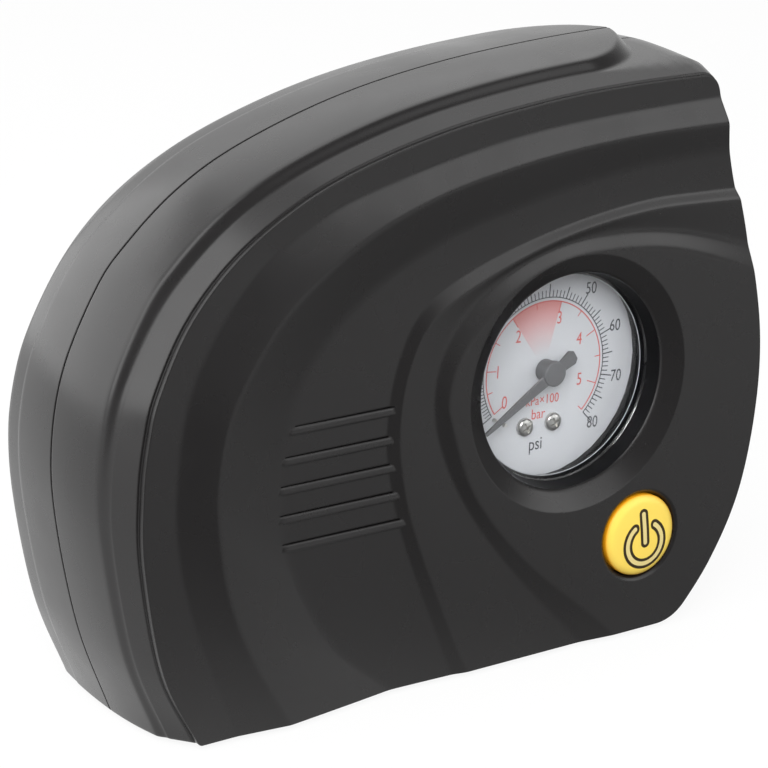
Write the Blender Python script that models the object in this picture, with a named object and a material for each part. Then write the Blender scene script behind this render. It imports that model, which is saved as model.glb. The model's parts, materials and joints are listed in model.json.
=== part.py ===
"""Portable tire inflator: snail-shaped two-part shell, pressure gauge, power button and piston compressor.

Sizes are in millimetres. u runs to the right of the gauge axis, y from the seam towards the rear,
z up from the flat base of the shell. The origin of the scene lies under the middle, on the feet.
"""

import math

import bmesh
import bpy
from mathutils import Matrix, Vector

for thing in list(bpy.data.objects):
    bpy.data.objects.remove(thing)

# Unit of the sizes below, in metres
MM = 0.001

# Fits: gap between seated pieces, radial clearance of a shaft, gap at the seam
SEAT_GAP = 0.3
SHAFT_CLEARANCE = 0.15
SEAM_GAP = 0.3

# Shell walls, and the middle of its width from the gauge axis
WALL = 2.4
SHELL_MIDDLE = -30.55
SHELL_MIDDLE_HEIGHT = 60.0

# Seam outline: side from the lower left corner to the top right one, then the right side down
SEAM_SIDE = (
    (-100.5, 0), (-107.5, 20.5), (-111.6, 44), (-112, 60), (-108.8, 75.5), (-101, 90.7), (-94.2, 98.6),
    (-82.6, 108), (-68.2, 115.3), (-45.7, 122.2), (-20.9, 126.4), (8, 128.6), (40, 129.2),
)
SEAM_RIGHT = (
    (40, 129.2), (44.4, 104), (48.8, 85), (52, 64), (51.7, 46), (47.7, 27), (40, 11.5), (30.2, 0),
)
SEAM_CORNERS = (0.8, 13.5, 5)

# Front edge outline, point for point like the seam
EDGE_SIDE = (
    (-93.9, 0), (-101.6, 16.9), (-105.2, 40), (-105, 55), (-103.4, 66), (-100.8, 75), (-93.8, 87.9),
    (-83.6, 98.6), (-70.6, 106.9), (-55.7, 112.9), (-33.1, 118.2), (-8.6, 121.1), (12, 122), (35.8, 121.8),
)
EDGE_RIGHT = (
    (35.8, 121.8), (40, 102), (45.4, 84), (49.2, 64), (48.9, 46), (44.9, 27), (37.2, 12), (27.2, 0),
)
EDGE_CORNERS = (0.8, 4, 5)
SIDE_STEPS = 42
SIDE_GRADING = 1.45
RIGHT_STEPS = 11
BASE_STEPS = 5
CORNER_STEPS = 3

# Raised band round the left side and top, with its tapering end near the top right corner
BAND_HALF = 16.0
BAND_RAMP = 2.6
BAND_END_START = 4.0
BAND_END_LENGTH = 21.0
BAND_END_POWER = 1.9
BAND_NARROWS_BY = 105.0
BAND_CROWN = 0.24
RIM_SEAM_LEVEL = 0.40
RIM_FOOT_LEVEL = 0.62
RIM_LEDGE_LEVEL = 0.93
RIM_DEPTH = 22.9

# Relief of the front: curves from the right edge round the left to the base, with the height in front
# of the seam at the right end and at the base end
RELIEF_OUTER = ((62, 136), (8, 135), (-44, 131), (-94, 113), (-114, 92), (-120, 60), (-118, 30), (-106, -14))
RELIEF_A1 = (
    (62, 116), (26.6, 116.4), (-15.2, 114.8), (-53.1, 108.2), (-68.4, 102.6), (-80, 95), (-89.3, 83.4),
    (-94.8, 71.7), (-97.4, 56.8), (-97.6, 43.4), (-94.9, 28.7), (-90, 13.7), (-85.3, 0), (-80.5, -14),
)
RELIEF_A2 = (
    (62, 110.5), (25.1, 111.6), (3.8, 111.2), (-16.6, 109.3), (-36.4, 105.7), (-54.4, 99.1), (-69.8, 89.1),
    (-78.7, 79.4), (-85.8, 67.4), (-88.9, 53.2), (-88.6, 41.5), (-86.7, 29.6), (-81.9, 16), (-73.2, 0), (-65, -14),
)
RELIEF_B = (
    (62, 104.5), (26.9, 105.1), (5.7, 103.7), (-14.7, 100.4), (-34.5, 95.7), (-53.8, 86.4), (-66.8, 73.4),
    (-72.1, 59.5), (-73, 46), (-70.5, 31.2), (-60.7, 12.9), (-46.6, 0), (-30, -14),
)
RELIEF_C1 = (
    (62, 95), (32.7, 96.5), (16.4, 96.7), (-4.6, 94.1), (-24.9, 89.1), (-38.5, 82.4), (-44.9, 71.8),
    (-47.7, 58), (-46.9, 46.5), (-43.5, 32.7), (-35.9, 12.1), (-31.2, 0), (-25.5, -14),
)
RELIEF_C2 = (
    (62, 92.2), (34.2, 94.4), (15.3, 94.7), (-5.6, 91.8), (-25.7, 85.5), (-37.4, 79.3), (-43, 69.7),
    (-45.2, 58), (-44.3, 46), (-40.8, 32.3), (-32.3, 10.2), (-27.8, 0), (-21.5, -14),
)
RELIEF_D1 = (
    (62, 77), (46.4, 82.9), (26.9, 88.9), (8, 91.4), (-10.2, 89.3), (-25.4, 82.8), (-34, 73.4),
    (-36.7, 62.1), (-34.7, 50.9), (-27.5, 36.2), (-15.7, 20.2), (0.6, 1.5), (13, -14),
)
RELIEF_D2 = (
    (62, 69), (47.9, 76.8), (26.2, 85.1), (8, 87.7), (-5.7, 87.2), (-18.4, 81.8), (-29.4, 71.7),
    (-33.3, 62), (-32.2, 54.9), (-26, 38.3), (-12.2, 20.8), (8.5, 2.2), (22, -14),
)
TERRACE_HEIGHTS = (23.6, 25.0)
RIDGE_HEIGHTS = (25.6, 26.4)
VALLEY_HEIGHTS = (23.6, 22.2)
INNER_FOOT_HEIGHTS = (23.5, 23.2)
INNER_TOP_HEIGHTS = (25.0, 23.9)
RING_FOOT_HEIGHTS = (24.1, 24.0)
PLATEAU_HEIGHT = 25.0
RELIEF_STEPS = 36

# Rear half: band, rim and raised panel
REAR_BAND_HALF = 22.4
REAR_BAND_TOP = 19.2
REAR_RIM_DEPTH = 28.6
REAR_BORDER = 30.0
REAR_PANEL = 31.6
REAR_PANEL_INSET = 7.0
REAR_PANEL_SLOPE = 3.0

# Louvre vents
VENT_COUNT = 5
VENT_PITCH = 6.15
VENT_TOP = 61.8
VENT_LEFT = -70.8
VENT_RIGHT = -47.2
VENT_SLOT = 1.7
VENT_FIN = 1.3

# Feet
FOOT_PROUD = 1.4
FOOT_RADIUS = 4.5
FOOT_SINK = 1.0
FOOT_ACROSS = 13.0
FOOT_PLACES = (-82.0, 14.0)

# Case screws from the rear
CASE_SCREWS = ((31, 106), (-72, 96), (-96.5, 47), (-38, 11.5), (37, 31))
CASE_SCREW_RADIUS = 1.5
CASE_HEAD_RADIUS = 3.0
CASE_HEAD_HEIGHT = 2.2
CASE_SCREW_SEAT = 10.0
CASE_SCREW_REACH = 12.0
BOSS_WALL = 2.2

# Gauge, on its axis
GAUGE_HEIGHT = 59.5
GAUGE_OPENING = 23.2
GAUGE_RIM_DEPTH = 2.3
GAUGE_FUNNEL = 4.4
GAUGE_SEAT = 18.6
GAUGE_TUBE_WALL = 4.5
GAUGE_CASE_STEP = 1.2
GAUGE_CASE_WALL = 1.2
GAUGE_CASE_LENGTH = 20.9
GAUGE_FLANGE = 1.6
LENS_THICKNESS = 1.3
DIAL_DROP = 6.7
DIAL_THICKNESS = 0.8
NEEDLE_HUB_RADIUS = 2.8
NEEDLE_HUB_HEIGHT = 4.2
NEEDLE_LENGTH = 20.2
NEEDLE_TAIL = 6.3
NEEDLE_WIDTH = 2.5
NEEDLE_TIP = 0.7
NEEDLE_THICKNESS = 0.6
NEEDLE_ZERO = 211.0
DIAL_SCREWS = ((-5.0, -12.1), (2.5, -12.2))
DIAL_SCREW_RADIUS = 0.9
DIAL_SCREW_HEAD = 1.85
STOP_PIN_RADIUS = 0.45
STOP_PIN_PLACE = (15.8, 215.5)
SPINDLE_RADIUS = 0.7
MOVEMENT_PLATE = 1.2
MOVEMENT_GAP = 2.8
MOVEMENT_TEETH = (8, 54)
MOVEMENT_MODULE = 0.3
MOVEMENT_BACKLASH = 0.08
SECTOR_TRAVEL = 38.3
SECTOR_THICKNESS = 1.4
BOURDON_RADIUS = 19.0
BOURDON_THICKNESS = 1.8
BOURDON_WIDTH = 4.3
STEM_RADIUS = 4.0
NIPPLE_RADIUS = 1.9
NIPPLE_LENGTH = 7.4

# Power button and its switch
BUTTON_PLACE = (17.2, 22.0)
BUTTON_RADIUS = 9.2
BUTTON_PROUD = 1.1
BUTTON_DOME = 1.1
BUTTON_CLEARANCE = 0.35
BUTTON_FLANGE = 1.35
BUTTON_FLANGE_THICKNESS = 1.5
BUTTON_TRAVEL = 2.5
BUTTON_CHAMFER = 0.9
GUIDE_WALL = 1.7
SPRING_WIRE = 0.3
SPRING_RADIUS = 5.2
SPRING_TURNS = 3
SPRING_LENGTH = 4.3
SWITCH_SIDE = 15.0
SWITCH_DEPTH = 17.0
PLUNGER_SIDE = 5.0
PLUNGER_REACH = 4.0

# Compressor frame and gears; the crank axis lies above the motor axis
FRAME_FACE = -57.0
FRAME_PLATE = 3.0
FRAME_HALF = 16.0
FRAME_BASE = 7.0
FRAME_EAR = 3.0
FRAME_SCREW_PLACES = (-53.0, -34.0)
EAR_SCREW_RISE = 6.0
SHELF_SCREW_RISE = 3.7
FRAME_SCREW_RADIUS = 1.4
FRAME_HEAD_RADIUS = 2.7
FRAME_HEAD_HEIGHT = 2.0
SHELF_THICKNESS = 3.5
MOTOR_AXIS_HEIGHT = 20.0
GEAR_TEETH = 45
PINION_TEETH = 9
GEAR_MODULE = 0.8
GEAR_BACKLASH = 0.16
GEAR_WIDTH = 4.5
GEAR_FRAME_GAP = 1.4
AXLE_RADIUS = 2.0
BUSH_WALL = 2.0
BUSH_FLANGE = 1.5
CLIP_WIDTH = 2.0
CLIP_THICKNESS = 1.0

# Motor
MOTOR_RADIUS = 14.0
MOTOR_LENGTH = 30.7
MOTOR_WALL = 1.2
MOTOR_FACE = 1.5
MAGNET_THICKNESS = 2.9
MAGNET_LENGTH = 20.0
AIR_GAP = 0.5
ARMATURE_LENGTH = 16.0
MOTOR_SHAFT_RADIUS = 1.2
END_BELL_LENGTH = 3.7
MOTOR_SCREW_SPREAD = 8.0
MOTOR_SCREW_RADIUS = 1.2
MOTOR_SCREW_HEAD = 2.2
MOTOR_SCREW_HEIGHT = 1.8
MOTOR_SCREW_REACH = 2.0

# Crank, rod, piston and cylinder
CRANK_THROW = 5.0
CRANK_PIN_RADIUS = 2.0
CRANK_SHOULDER = 1.2
ROD_LENGTH = 28.0
ROD_WIDTH = 7.0
ROD_BIG_END = 5.0
ROD_SMALL_END = 3.4
ROD_SHANK = 4.6
ROD_OFFSET = 2.6
GUDGEON_RADIUS = 1.5
GUDGEON_LENGTH = 11.6
BORE_RADIUS = 11.0
PISTON_CLEARANCE = 0.25
PISTON_SKIRT = 3.2
PISTON_WALL = 1.3
CROWN_THICKNESS = 5.0
CROWN_RUNNING_GAP = 0.8
RING_HEIGHT = 1.6
RING_WIDTH = 1.7
RING_CLEARANCE = 0.1
CYLINDER_WALL = 1.4
HEAD_RADIUS = 17.0
HEAD_THICKNESS = 4.5
HEAD_BOSS_RADIUS = 7.0
HEAD_BOSS_HEIGHT = 5.8
PORT_RADIUS = 1.5
PORT_LENGTH = 2.3
CHAMBER_RADIUS = 4.4
VALVE_THICKNESS = 1.3
VALVE_LIFT = 1.5
TIE_BOLT_CIRCLE = 15.0
TIE_BOLT_RADIUS = 1.5
TIE_HEAD_RADIUS = 2.7
TIE_HEAD_HEIGHT = 2.2
TEE_RADIUS = 4.0
TEE_HEIGHT = 7.0
TEE_REACH = 9.5

# Air tubes and leads
AIR_TUBE_RADIUS = 2.0
LEAD_RADIUS = 0.8
LEAD_SPREAD = 5.0

# Recess in the rear for the hose outlet and the cable gland
BAY_LEFT = -24.0
BAY_RIGHT = 26.0
BAY_BASE = 8.0
BAY_TOP = 30.0
BAY_DEPTH = 17.6
BAY_CORNER = 4.0
OUTLET_PLACE = (-8.0, 19.0)
OUTLET_RADIUS = 4.0
OUTLET_BORE = 1.6
OUTLET_REACH = 7.5
OUTLET_BARB = 6.0
GLAND_PLACE = (14.0, 19.0)
GLAND_RADIUS = 3.6
GLAND_BORE = 1.9
GLAND_LIP = 2.0
GLAND_FLANGE = 1.8
GLAND_COLLAR = 2.4

# Sizes that follow from those above
GAUGE_AXIS = (0.0, GAUGE_HEIGHT)
RIM_PLANE = -(PLATEAU_HEIGHT - GAUGE_RIM_DEPTH)
FRONT_INNER = min(VALLEY_HEIGHTS) - WALL + 0.2
REAR_INNER = REAR_BORDER - WALL
SEAM_HALF = SEAM_GAP / 2
CENTRE_DISTANCE = GEAR_MODULE * (GEAR_TEETH + PINION_TEETH) / 2
CRANK_HEIGHT = MOTOR_AXIS_HEIGHT + CENTRE_DISTANCE
GEAR_LEFT = FRAME_FACE + GEAR_FRAME_GAP
GEAR_RIGHT = GEAR_LEFT + GEAR_WIDTH
ROD_LEFT = GEAR_RIGHT + ROD_OFFSET
ROD_RIGHT = ROD_LEFT + ROD_WIDTH
CYLINDER_PLACE = (ROD_LEFT + ROD_RIGHT) / 2
PIN_HEIGHT = CRANK_HEIGHT + CRANK_THROW
SMALL_END_HEIGHT = PIN_HEIGHT + ROD_LENGTH
GEAR_TIP = GEAR_MODULE * (GEAR_TEETH / 2 + 0.8)
PISTON_BASE = SMALL_END_HEIGHT - PISTON_SKIRT
CROWN_UNDER = SMALL_END_HEIGHT + ROD_SMALL_END + 2 * CRANK_THROW + 0.4
CROWN_TOP = CROWN_UNDER + CROWN_THICKNESS
SHELF_TOP = PISTON_BASE - 2.6
SHELF_BASE = SHELF_TOP - SHELF_THICKNESS
FRAME_SCREWS = (
    (FRAME_SCREW_PLACES[0], FRAME_BASE + EAR_SCREW_RISE),
    (FRAME_SCREW_PLACES[1], SHELF_TOP + SHELF_SCREW_RISE),
)
CYLINDER_BASE = SHELF_TOP + SEAT_GAP
CYLINDER_TOP = CROWN_TOP + CROWN_RUNNING_GAP
HEAD_BASE = CYLINDER_TOP + SEAT_GAP
HEAD_FACE = HEAD_BASE + HEAD_THICKNESS
BOSS_TOP = HEAD_FACE + HEAD_BOSS_HEIGHT
TEE_AXIS = BOSS_TOP + SEAT_GAP + TEE_HEIGHT - TEE_RADIUS + 1.2
FRAME_LEFT = FRAME_FACE - FRAME_PLATE
MOTOR_FRONT = FRAME_LEFT - SEAT_GAP
MOTOR_REAR = MOTOR_FRONT - MOTOR_LENGTH
BELL_FRONT = MOTOR_REAR - SEAT_GAP
BELL_REAR = BELL_FRONT - END_BELL_LENGTH
BAY_FLOOR = REAR_PANEL - BAY_DEPTH
BAY_INNER = BAY_FLOOR - WALL
CASE_FRONT = -GAUGE_SEAT + SEAT_GAP
CASE_BACK = CASE_FRONT + GAUGE_CASE_LENGTH
CASE_INNER = GAUGE_OPENING + GAUGE_CASE_STEP
DIAL_FACE = CASE_FRONT + DIAL_DROP
DIAL_BACK = DIAL_FACE + DIAL_THICKNESS
TOP_PLATE = DIAL_BACK + SEAT_GAP
LOW_PLATE = TOP_PLATE + MOVEMENT_PLATE + MOVEMENT_GAP
PLATE_BACK = LOW_PLATE + MOVEMENT_PLATE
SECTOR_PIVOT = -MOVEMENT_MODULE * sum(MOVEMENT_TEETH) / 2
BUTTON_FACE = -(PLATEAU_HEIGHT + BUTTON_PROUD)
BUTTON_HOLE = BUTTON_RADIUS + BUTTON_CLEARANCE
FLANGE_FRONT = -FRONT_INNER + SEAT_GAP
FLANGE_BACK = FLANGE_FRONT + BUTTON_FLANGE_THICKNESS
GUIDE_BORE = BUTTON_RADIUS + BUTTON_FLANGE + BUTTON_CLEARANCE
GUIDE_END = FLANGE_BACK + SPRING_LENGTH + 0.4
SWITCH_FRONT = GUIDE_END + SEAT_GAP
SWITCH_BACK = SWITCH_FRONT + SWITCH_DEPTH
DEPTH_MIDDLE = (REAR_PANEL - max(RIDGE_HEIGHTS)) / 2
ORIGIN = Vector((-SHELL_MIDDLE, -DEPTH_MIDDLE, FOOT_PROUD))


def paint(name, colour, roughness, metallic=0.0, transmission=0.0):
    """A plain material."""
    material = bpy.data.materials.new(name)
    material.use_nodes = True
    shader = material.node_tree.nodes["Principled BSDF"]
    shader.inputs["Base Color"].default_value = (*colour, 1)
    shader.inputs["Roughness"].default_value = roughness
    shader.inputs["Metallic"].default_value = metallic
    shader.inputs["Transmission Weight"].default_value = transmission
    return material


BLACK = paint("black_plastic", (0.045, 0.044, 0.045), 0.5)
DARK = paint("dark_plastic", (0.02, 0.02, 0.022), 0.45)
YELLOW = paint("yellow_plastic", (0.92, 0.55, 0.045), 0.35)
RUBBER = paint("rubber", (0.03, 0.03, 0.03), 0.8)
CLEAR = paint("clear_lens", (0.95, 0.97, 0.97), 0.05, 0.0, 1.0)
WHITE = paint("dial_white", (0.74, 0.75, 0.76), 0.5)
GREY = paint("needle_grey", (0.09, 0.09, 0.095), 0.5)
STEEL = paint("steel", (0.56, 0.56, 0.55), 0.3, 1.0)
BRASS = paint("brass", (0.70, 0.52, 0.22), 0.3, 1.0)
ALLOY = paint("cast_alloy", (0.55, 0.56, 0.57), 0.45, 1.0)
NYLON = paint("nylon", (0.75, 0.74, 0.70), 0.5)
FERRITE = paint("ferrite", (0.08, 0.08, 0.085), 0.7)
COPPER = paint("copper", (0.62, 0.30, 0.17), 0.35, 1.0)
RED_WIRE = paint("red_wire", (0.55, 0.03, 0.03), 0.5)
BLACK_WIRE = paint("black_wire", (0.03, 0.03, 0.03), 0.5)
HOSE = paint("hose_rubber", (0.05, 0.05, 0.05), 0.6)


def finish(name, bm, material=None, origin=(0, 0, 0), angle=35):
    """Turn a bmesh in millimetres into a named object whose origin is the given point."""
    bmesh.ops.remove_doubles(bm, verts=bm.verts[:], dist=0.0005)
    bmesh.ops.recalc_face_normals(bm, faces=bm.faces[:])
    origin = Vector(origin)
    bmesh.ops.translate(bm, verts=bm.verts[:], vec=-origin)
    bmesh.ops.scale(bm, verts=bm.verts[:], vec=(MM, MM, MM))
    mesh = bpy.data.meshes.new(name)
    bm.to_mesh(mesh)
    bm.free()
    piece = bpy.data.objects.new(name, mesh)
    piece.location = (origin + ORIGIN) * MM
    bpy.context.collection.objects.link(piece)
    if material:
        mesh.materials.append(material)
        mesh.shade_smooth()
        mesh.set_sharp_from_angle(angle=math.radians(angle))
    return piece


def combine(piece, other, operation):
    """Cut, join or intersect a piece with another one, which is used up."""
    change = piece.modifiers.new("shape", "BOOLEAN")
    change.operation = operation
    change.solver = "EXACT"
    change.object = other
    bpy.context.view_layer.update()
    graph = bpy.context.evaluated_depsgraph_get()
    mesh = bpy.data.meshes.new_from_object(piece.evaluated_get(graph))
    piece.modifiers.clear()
    piece.data = mesh
    bpy.data.objects.remove(other)
    return piece


def cut(piece, *others):
    for other in others:
        combine(piece, other, "DIFFERENCE")
    return piece


def join(piece, *others):
    for other in others:
        combine(piece, other, "UNION")
    return piece


def dress(piece, material, angle=35):
    """Give a cut or joined piece its one material and its smooth shading."""
    piece.data.materials.clear()
    piece.data.materials.append(material)
    piece.data.shade_smooth()
    piece.data.set_sharp_from_angle(angle=math.radians(angle))
    return piece


def spin_frame(axis, centre):
    """Matrix that carries the z axis to the named axis through a centre."""
    turns = {
        "x": Matrix(((0, 0, 1), (0, 1, 0), (-1, 0, 0))),
        "y": Matrix(((1, 0, 0), (0, 0, 1), (0, -1, 0))),
        "z": Matrix.Identity(3),
    }
    return Matrix.Translation(centre) @ turns[axis].to_4x4()


def turned(name, profile, axis="y", centre=(0, 0, 0), steps=24, material=None, origin=None):
    """Revolve a closed profile of (radius, place along the axis) round an axis through the centre."""
    bm = bmesh.new()
    points = [bm.verts.new((radius, 0, along)) for radius, along in profile]
    edges = [bm.edges.new((points[i], points[i - 1])) for i in range(len(points))]
    bmesh.ops.spin(
        bm, geom=points + edges, cent=(0, 0, 0), axis=(0, 0, 1), angle=2 * math.pi, steps=steps, use_merge=True
    )
    bmesh.ops.remove_doubles(bm, verts=bm.verts[:], dist=0.0005)
    bmesh.ops.dissolve_degenerate(bm, edges=bm.edges[:], dist=0.0005)
    loose = [edge for edge in bm.edges if not edge.link_faces]
    bmesh.ops.delete(bm, geom=loose, context="EDGES")
    bmesh.ops.transform(bm, matrix=spin_frame(axis, centre), verts=bm.verts[:])
    return finish(name, bm, material, centre if origin is None else origin)


def rod(name, radius, start, end, axis="y", centre=(0, 0, 0), steps=24, material=None, origin=None):
    """Plain cylinder between two places along an axis."""
    profile = ((0, start), (radius, start), (radius, end), (0, end))
    return turned(name, profile, axis, centre, steps, material, origin)


def ring(name, inner, outer, start, end, axis="y", centre=(0, 0, 0), steps=24, material=None, origin=None):
    """Plain tube between two places along an axis."""
    profile = ((inner, start), (outer, start), (outer, end), (inner, end))
    return turned(name, profile, axis, centre, steps, material, origin)


def prism(name, outline, start, end, axis="y", centre=(0, 0), material=None, origin=(0, 0, 0)):
    """Extrude a flat outline along an axis: (u, z) along y, (y, z) along x, (u, y) along z."""
    places = {
        "x": lambda a, b: (start, a, b),
        "y": lambda a, b: (a, start, b),
        "z": lambda a, b: (a, b, start),
    }
    steps = {"x": (1, 0, 0), "y": (0, 1, 0), "z": (0, 0, 1)}
    bm = bmesh.new()
    corners = [bm.verts.new(places[axis](a + centre[0], b + centre[1])) for a, b in outline]
    face = bm.faces.new(corners)
    grown = bmesh.ops.extrude_face_region(bm, geom=[face])
    moved = [item for item in grown["geom"] if isinstance(item, bmesh.types.BMVert)]
    bmesh.ops.translate(bm, verts=moved, vec=Vector(steps[axis]) * (end - start))
    return finish(name, bm, material, origin)


def block(name, low, high, material=None):
    """Box between two corners."""
    outline = ((low[0], low[2]), (high[0], low[2]), (high[0], high[2]), (low[0], high[2]))
    return prism(name, outline, low[1], high[1], "y", (0, 0), material)


def arc(centre, radius, start, end, steps):
    """Points on an arc, with angles in degrees."""
    turns = [math.radians(start + (end - start) * i / steps) for i in range(steps + 1)]
    return [(centre[0] + radius * math.cos(a), centre[1] + radius * math.sin(a)) for a in turns]


def hull(circles, steps=14):
    """Outline stretched round several (centre, radius) circles."""
    points = [p for centre, radius in circles for p in arc(centre, radius, 0, 360, steps)[:-1]]
    points = sorted(set((round(a, 5), round(b, 5)) for a, b in points))

    def chain(run):
        line = []
        for point in run:
            while len(line) > 1 and turn_of(line[-2], line[-1], point) <= 1e-6:
                line.pop()
            line.append(point)
        return line[:-1]

    return chain(points) + chain(points[::-1])


def turn_of(a, b, c):
    """Twice the signed area of a triangle."""
    return (b[0] - a[0]) * (c[1] - a[1]) - (b[1] - a[1]) * (c[0] - a[0])


def rounded_box(left, right, base, top, corner, steps=4):
    """Rectangle with round corners."""
    outline = arc((right - corner, base + corner), corner, -90, 0, steps)
    outline += arc((right - corner, top - corner), corner, 0, 90, steps)
    outline += arc((left + corner, top - corner), corner, 90, 180, steps)
    outline += arc((left + corner, base + corner), corner, 180, 270, steps)
    return outline


def curve_through(points, fine=12):
    """Smooth curve through the given points."""
    points = [Vector(p) for p in points]
    ends = [2 * points[0] - points[1]] + points + [2 * points[-1] - points[-2]]
    line = []
    for before, a, b, after in zip(ends, ends[1:], ends[2:], ends[3:]):
        for i in range(fine):
            t = i / fine
            bend = 2 * before - 5 * a + 4 * b - after
            twist = 3 * (a - b) + after - before
            line.append(a + 0.5 * t * ((b - before) + t * (bend + t * twist)))
    return line + [points[-1]]


def spaced(line, count, skip_start=0.0, skip_end=0.0, grading=1.0):
    """Points along a line, leaving out a length at either end; grading over 1 sets them closer near the end."""
    lengths = [0.0]
    for a, b in zip(line, line[1:]):
        lengths.append(lengths[-1] + (b - a).length)
    result = []
    segment = 0
    for i in range(count + 1):
        share = 1 - (1 - i / count) ** grading
        reach = skip_start + (lengths[-1] - skip_start - skip_end) * share
        while segment < len(line) - 2 and lengths[segment + 1] < reach:
            segment += 1
        part = (reach - lengths[segment]) / (lengths[segment + 1] - lengths[segment])
        result.append(line[segment].lerp(line[segment + 1], part))
    return result


def shell_outline(side_points, right_points, corners):
    """Closed outline of the shell: side, right and base, with their corners eased by the given lengths."""
    low_left, top_right, low_right = corners
    side_line = curve_through(side_points)
    right_line = curve_through(right_points)
    base_line = [right_line[-1], side_line[0]]
    side = spaced(side_line, SIDE_STEPS, low_left, top_right, SIDE_GRADING)
    right = spaced(right_line, RIGHT_STEPS, top_right, low_right)
    base = spaced(base_line, BASE_STEPS, low_right, low_left)

    def ease(a, corner, b):
        parts = [i / CORNER_STEPS for i in range(1, CORNER_STEPS)]
        return [a.lerp(corner, t).lerp(corner.lerp(b, t), t) for t in parts]

    loop = side + ease(side[-1], side_line[-1], right[0])
    loop += right + ease(right[-1], right_line[-1], base[0])
    return loop + base + ease(base[-1], side_line[0], side[0])


SEAM_LOOP = shell_outline(SEAM_SIDE, SEAM_RIGHT, SEAM_CORNERS)
EDGE_LOOP = shell_outline(EDGE_SIDE, EDGE_RIGHT, EDGE_CORNERS)
SHELL_CENTRE = Vector((SHELL_MIDDLE, SHELL_MIDDLE_HEIGHT))


def band_share(index, depth, band):
    """How far the raised band stands out at a point of the rim: 1 on the band, 0 beside it."""
    base = SIDE_STEPS + RIGHT_STEPS + 2 * CORNER_STEPS
    along = SEAM_LOOP[index].x - BAND_END_START
    half = band
    if along > 0 and SEAM_LOOP[index].y > SHELL_MIDDLE_HEIGHT:
        left = 1 - min(1, along / BAND_END_LENGTH) ** BAND_END_POWER
        half = band * left ** (1 / BAND_END_POWER) - BAND_RAMP * (1 - left)
    share = min(1, max(0, (half + BAND_RAMP - depth) / BAND_RAMP))
    if SIDE_STEPS < index < base:
        share = 0
    return share * min(1, max(0, (index - base) / BASE_STEPS)) if index >= base else share


def rim_share(index, depth, band, rim):
    """Place of a rim point between the seam outline (0) and the front edge outline (1)."""
    foot = band + BAND_RAMP
    if depth <= foot:
        plain = RIM_SEAM_LEVEL + (RIM_FOOT_LEVEL - RIM_SEAM_LEVEL) * (depth / foot) ** 1.5
    else:
        plain = RIM_FOOT_LEVEL + (RIM_LEDGE_LEVEL - RIM_FOOT_LEVEL) * (depth - foot) / (rim - foot)
    raised = BAND_CROWN * (depth / band) ** 2
    return plain + (raised - plain) * band_share(index, depth, band)


def rim_loops(side, low_band, top_band, rim):
    """Outlines of the rim of one half, from the seam to the ledge; the band may narrow towards the top."""
    loops = [[] for _ in range(6)]
    for i, (seam, edge) in enumerate(zip(SEAM_LOOP, EDGE_LOOP)):
        rise = min(1, max(0, (seam.y - SHELL_MIDDLE_HEIGHT) / (BAND_NARROWS_BY - SHELL_MIDDLE_HEIGHT)))
        band = low_band + (top_band - low_band) * rise
        depths = (SEAM_HALF, band * 0.5, band * 0.84, band, band + BAND_RAMP, rim)
        for loop, depth in zip(loops, depths):
            place = seam.lerp(edge, rim_share(i, depth, band, rim))
            loop.append(Vector((place.x, side * depth, place.y)))
    return loops + [at_depth(EDGE_LOOP, side * (rim + 0.02))]


def at_depth(loop, y):
    """A flat outline set at a distance from the seam."""
    return [Vector((p.x, y, p.y)) for p in loop]


def level_loop(share):
    """Outline at one level between the seam outline and the front edge outline."""
    return [a.lerp(b, share) for a, b in zip(SEAM_LOOP, EDGE_LOOP)]


def inset(loop, amount):
    """Move an outline inwards by an amount, along lines to the middle of the shell."""
    result = []
    for i, point in enumerate(loop):
        along = (loop[(i + 1) % len(loop)] - loop[i - 1]).normalized()
        out = Vector((-along.y, along.x))
        ray = (point - SHELL_CENTRE).normalized()
        slope = max(0.5, abs(out.dot(ray)))
        result.append(point - ray * (amount / slope))
    return result


def loft(name, loops, material=None):
    """Closed solid through outlines of equal point counts."""
    bm = bmesh.new()
    rows = [[bm.verts.new(p) for p in loop] for loop in loops]
    for row, following in zip(rows, rows[1:]):
        for i in range(len(row)):
            bm.faces.new((row[i - 1], row[i], following[i], following[i - 1]))
    bm.faces.new(rows[0])
    bm.faces.new(rows[-1])
    return finish(name, bm, material)


def relief_body():
    """Solid whose front carries the C-shaped terraces round the gauge."""
    rows = (
        (RELIEF_OUTER, TERRACE_HEIGHTS),
        (RELIEF_A1, TERRACE_HEIGHTS),
        (RELIEF_A2, RIDGE_HEIGHTS),
        (RELIEF_B, VALLEY_HEIGHTS),
        (RELIEF_C1, INNER_FOOT_HEIGHTS),
        (RELIEF_C2, INNER_TOP_HEIGHTS),
        (RELIEF_D1, RING_FOOT_HEIGHTS),
        (RELIEF_D2, (PLATEAU_HEIGHT, PLATEAU_HEIGHT)),
    )
    bm = bmesh.new()
    grid = []
    for points, heights in rows:
        line = spaced(curve_through(points), RELIEF_STEPS)
        row = []
        for i, p in enumerate(line):
            height = heights[0] + (heights[1] - heights[0]) * i / RELIEF_STEPS
            row.append(bm.verts.new((p.x, -height, p.y)))
        grid.append(row)
    for row, following in zip(grid, grid[1:]):
        for i in range(RELIEF_STEPS):
            bm.faces.new((row[i], row[i + 1], following[i + 1], following[i]))
    last = grid[-1]
    corner = bm.verts.new((last[0].co.x, -PLATEAU_HEIGHT, last[-1].co.z))
    bm.faces.new(last + [corner])
    bmesh.ops.recalc_face_normals(bm, faces=bm.faces[:])
    grown = bmesh.ops.extrude_face_region(bm, geom=bm.faces[:])
    for item in grown["geom"]:
        if isinstance(item, bmesh.types.BMVert):
            item.co.y = 6.0
    return finish("relief", bm)


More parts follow.
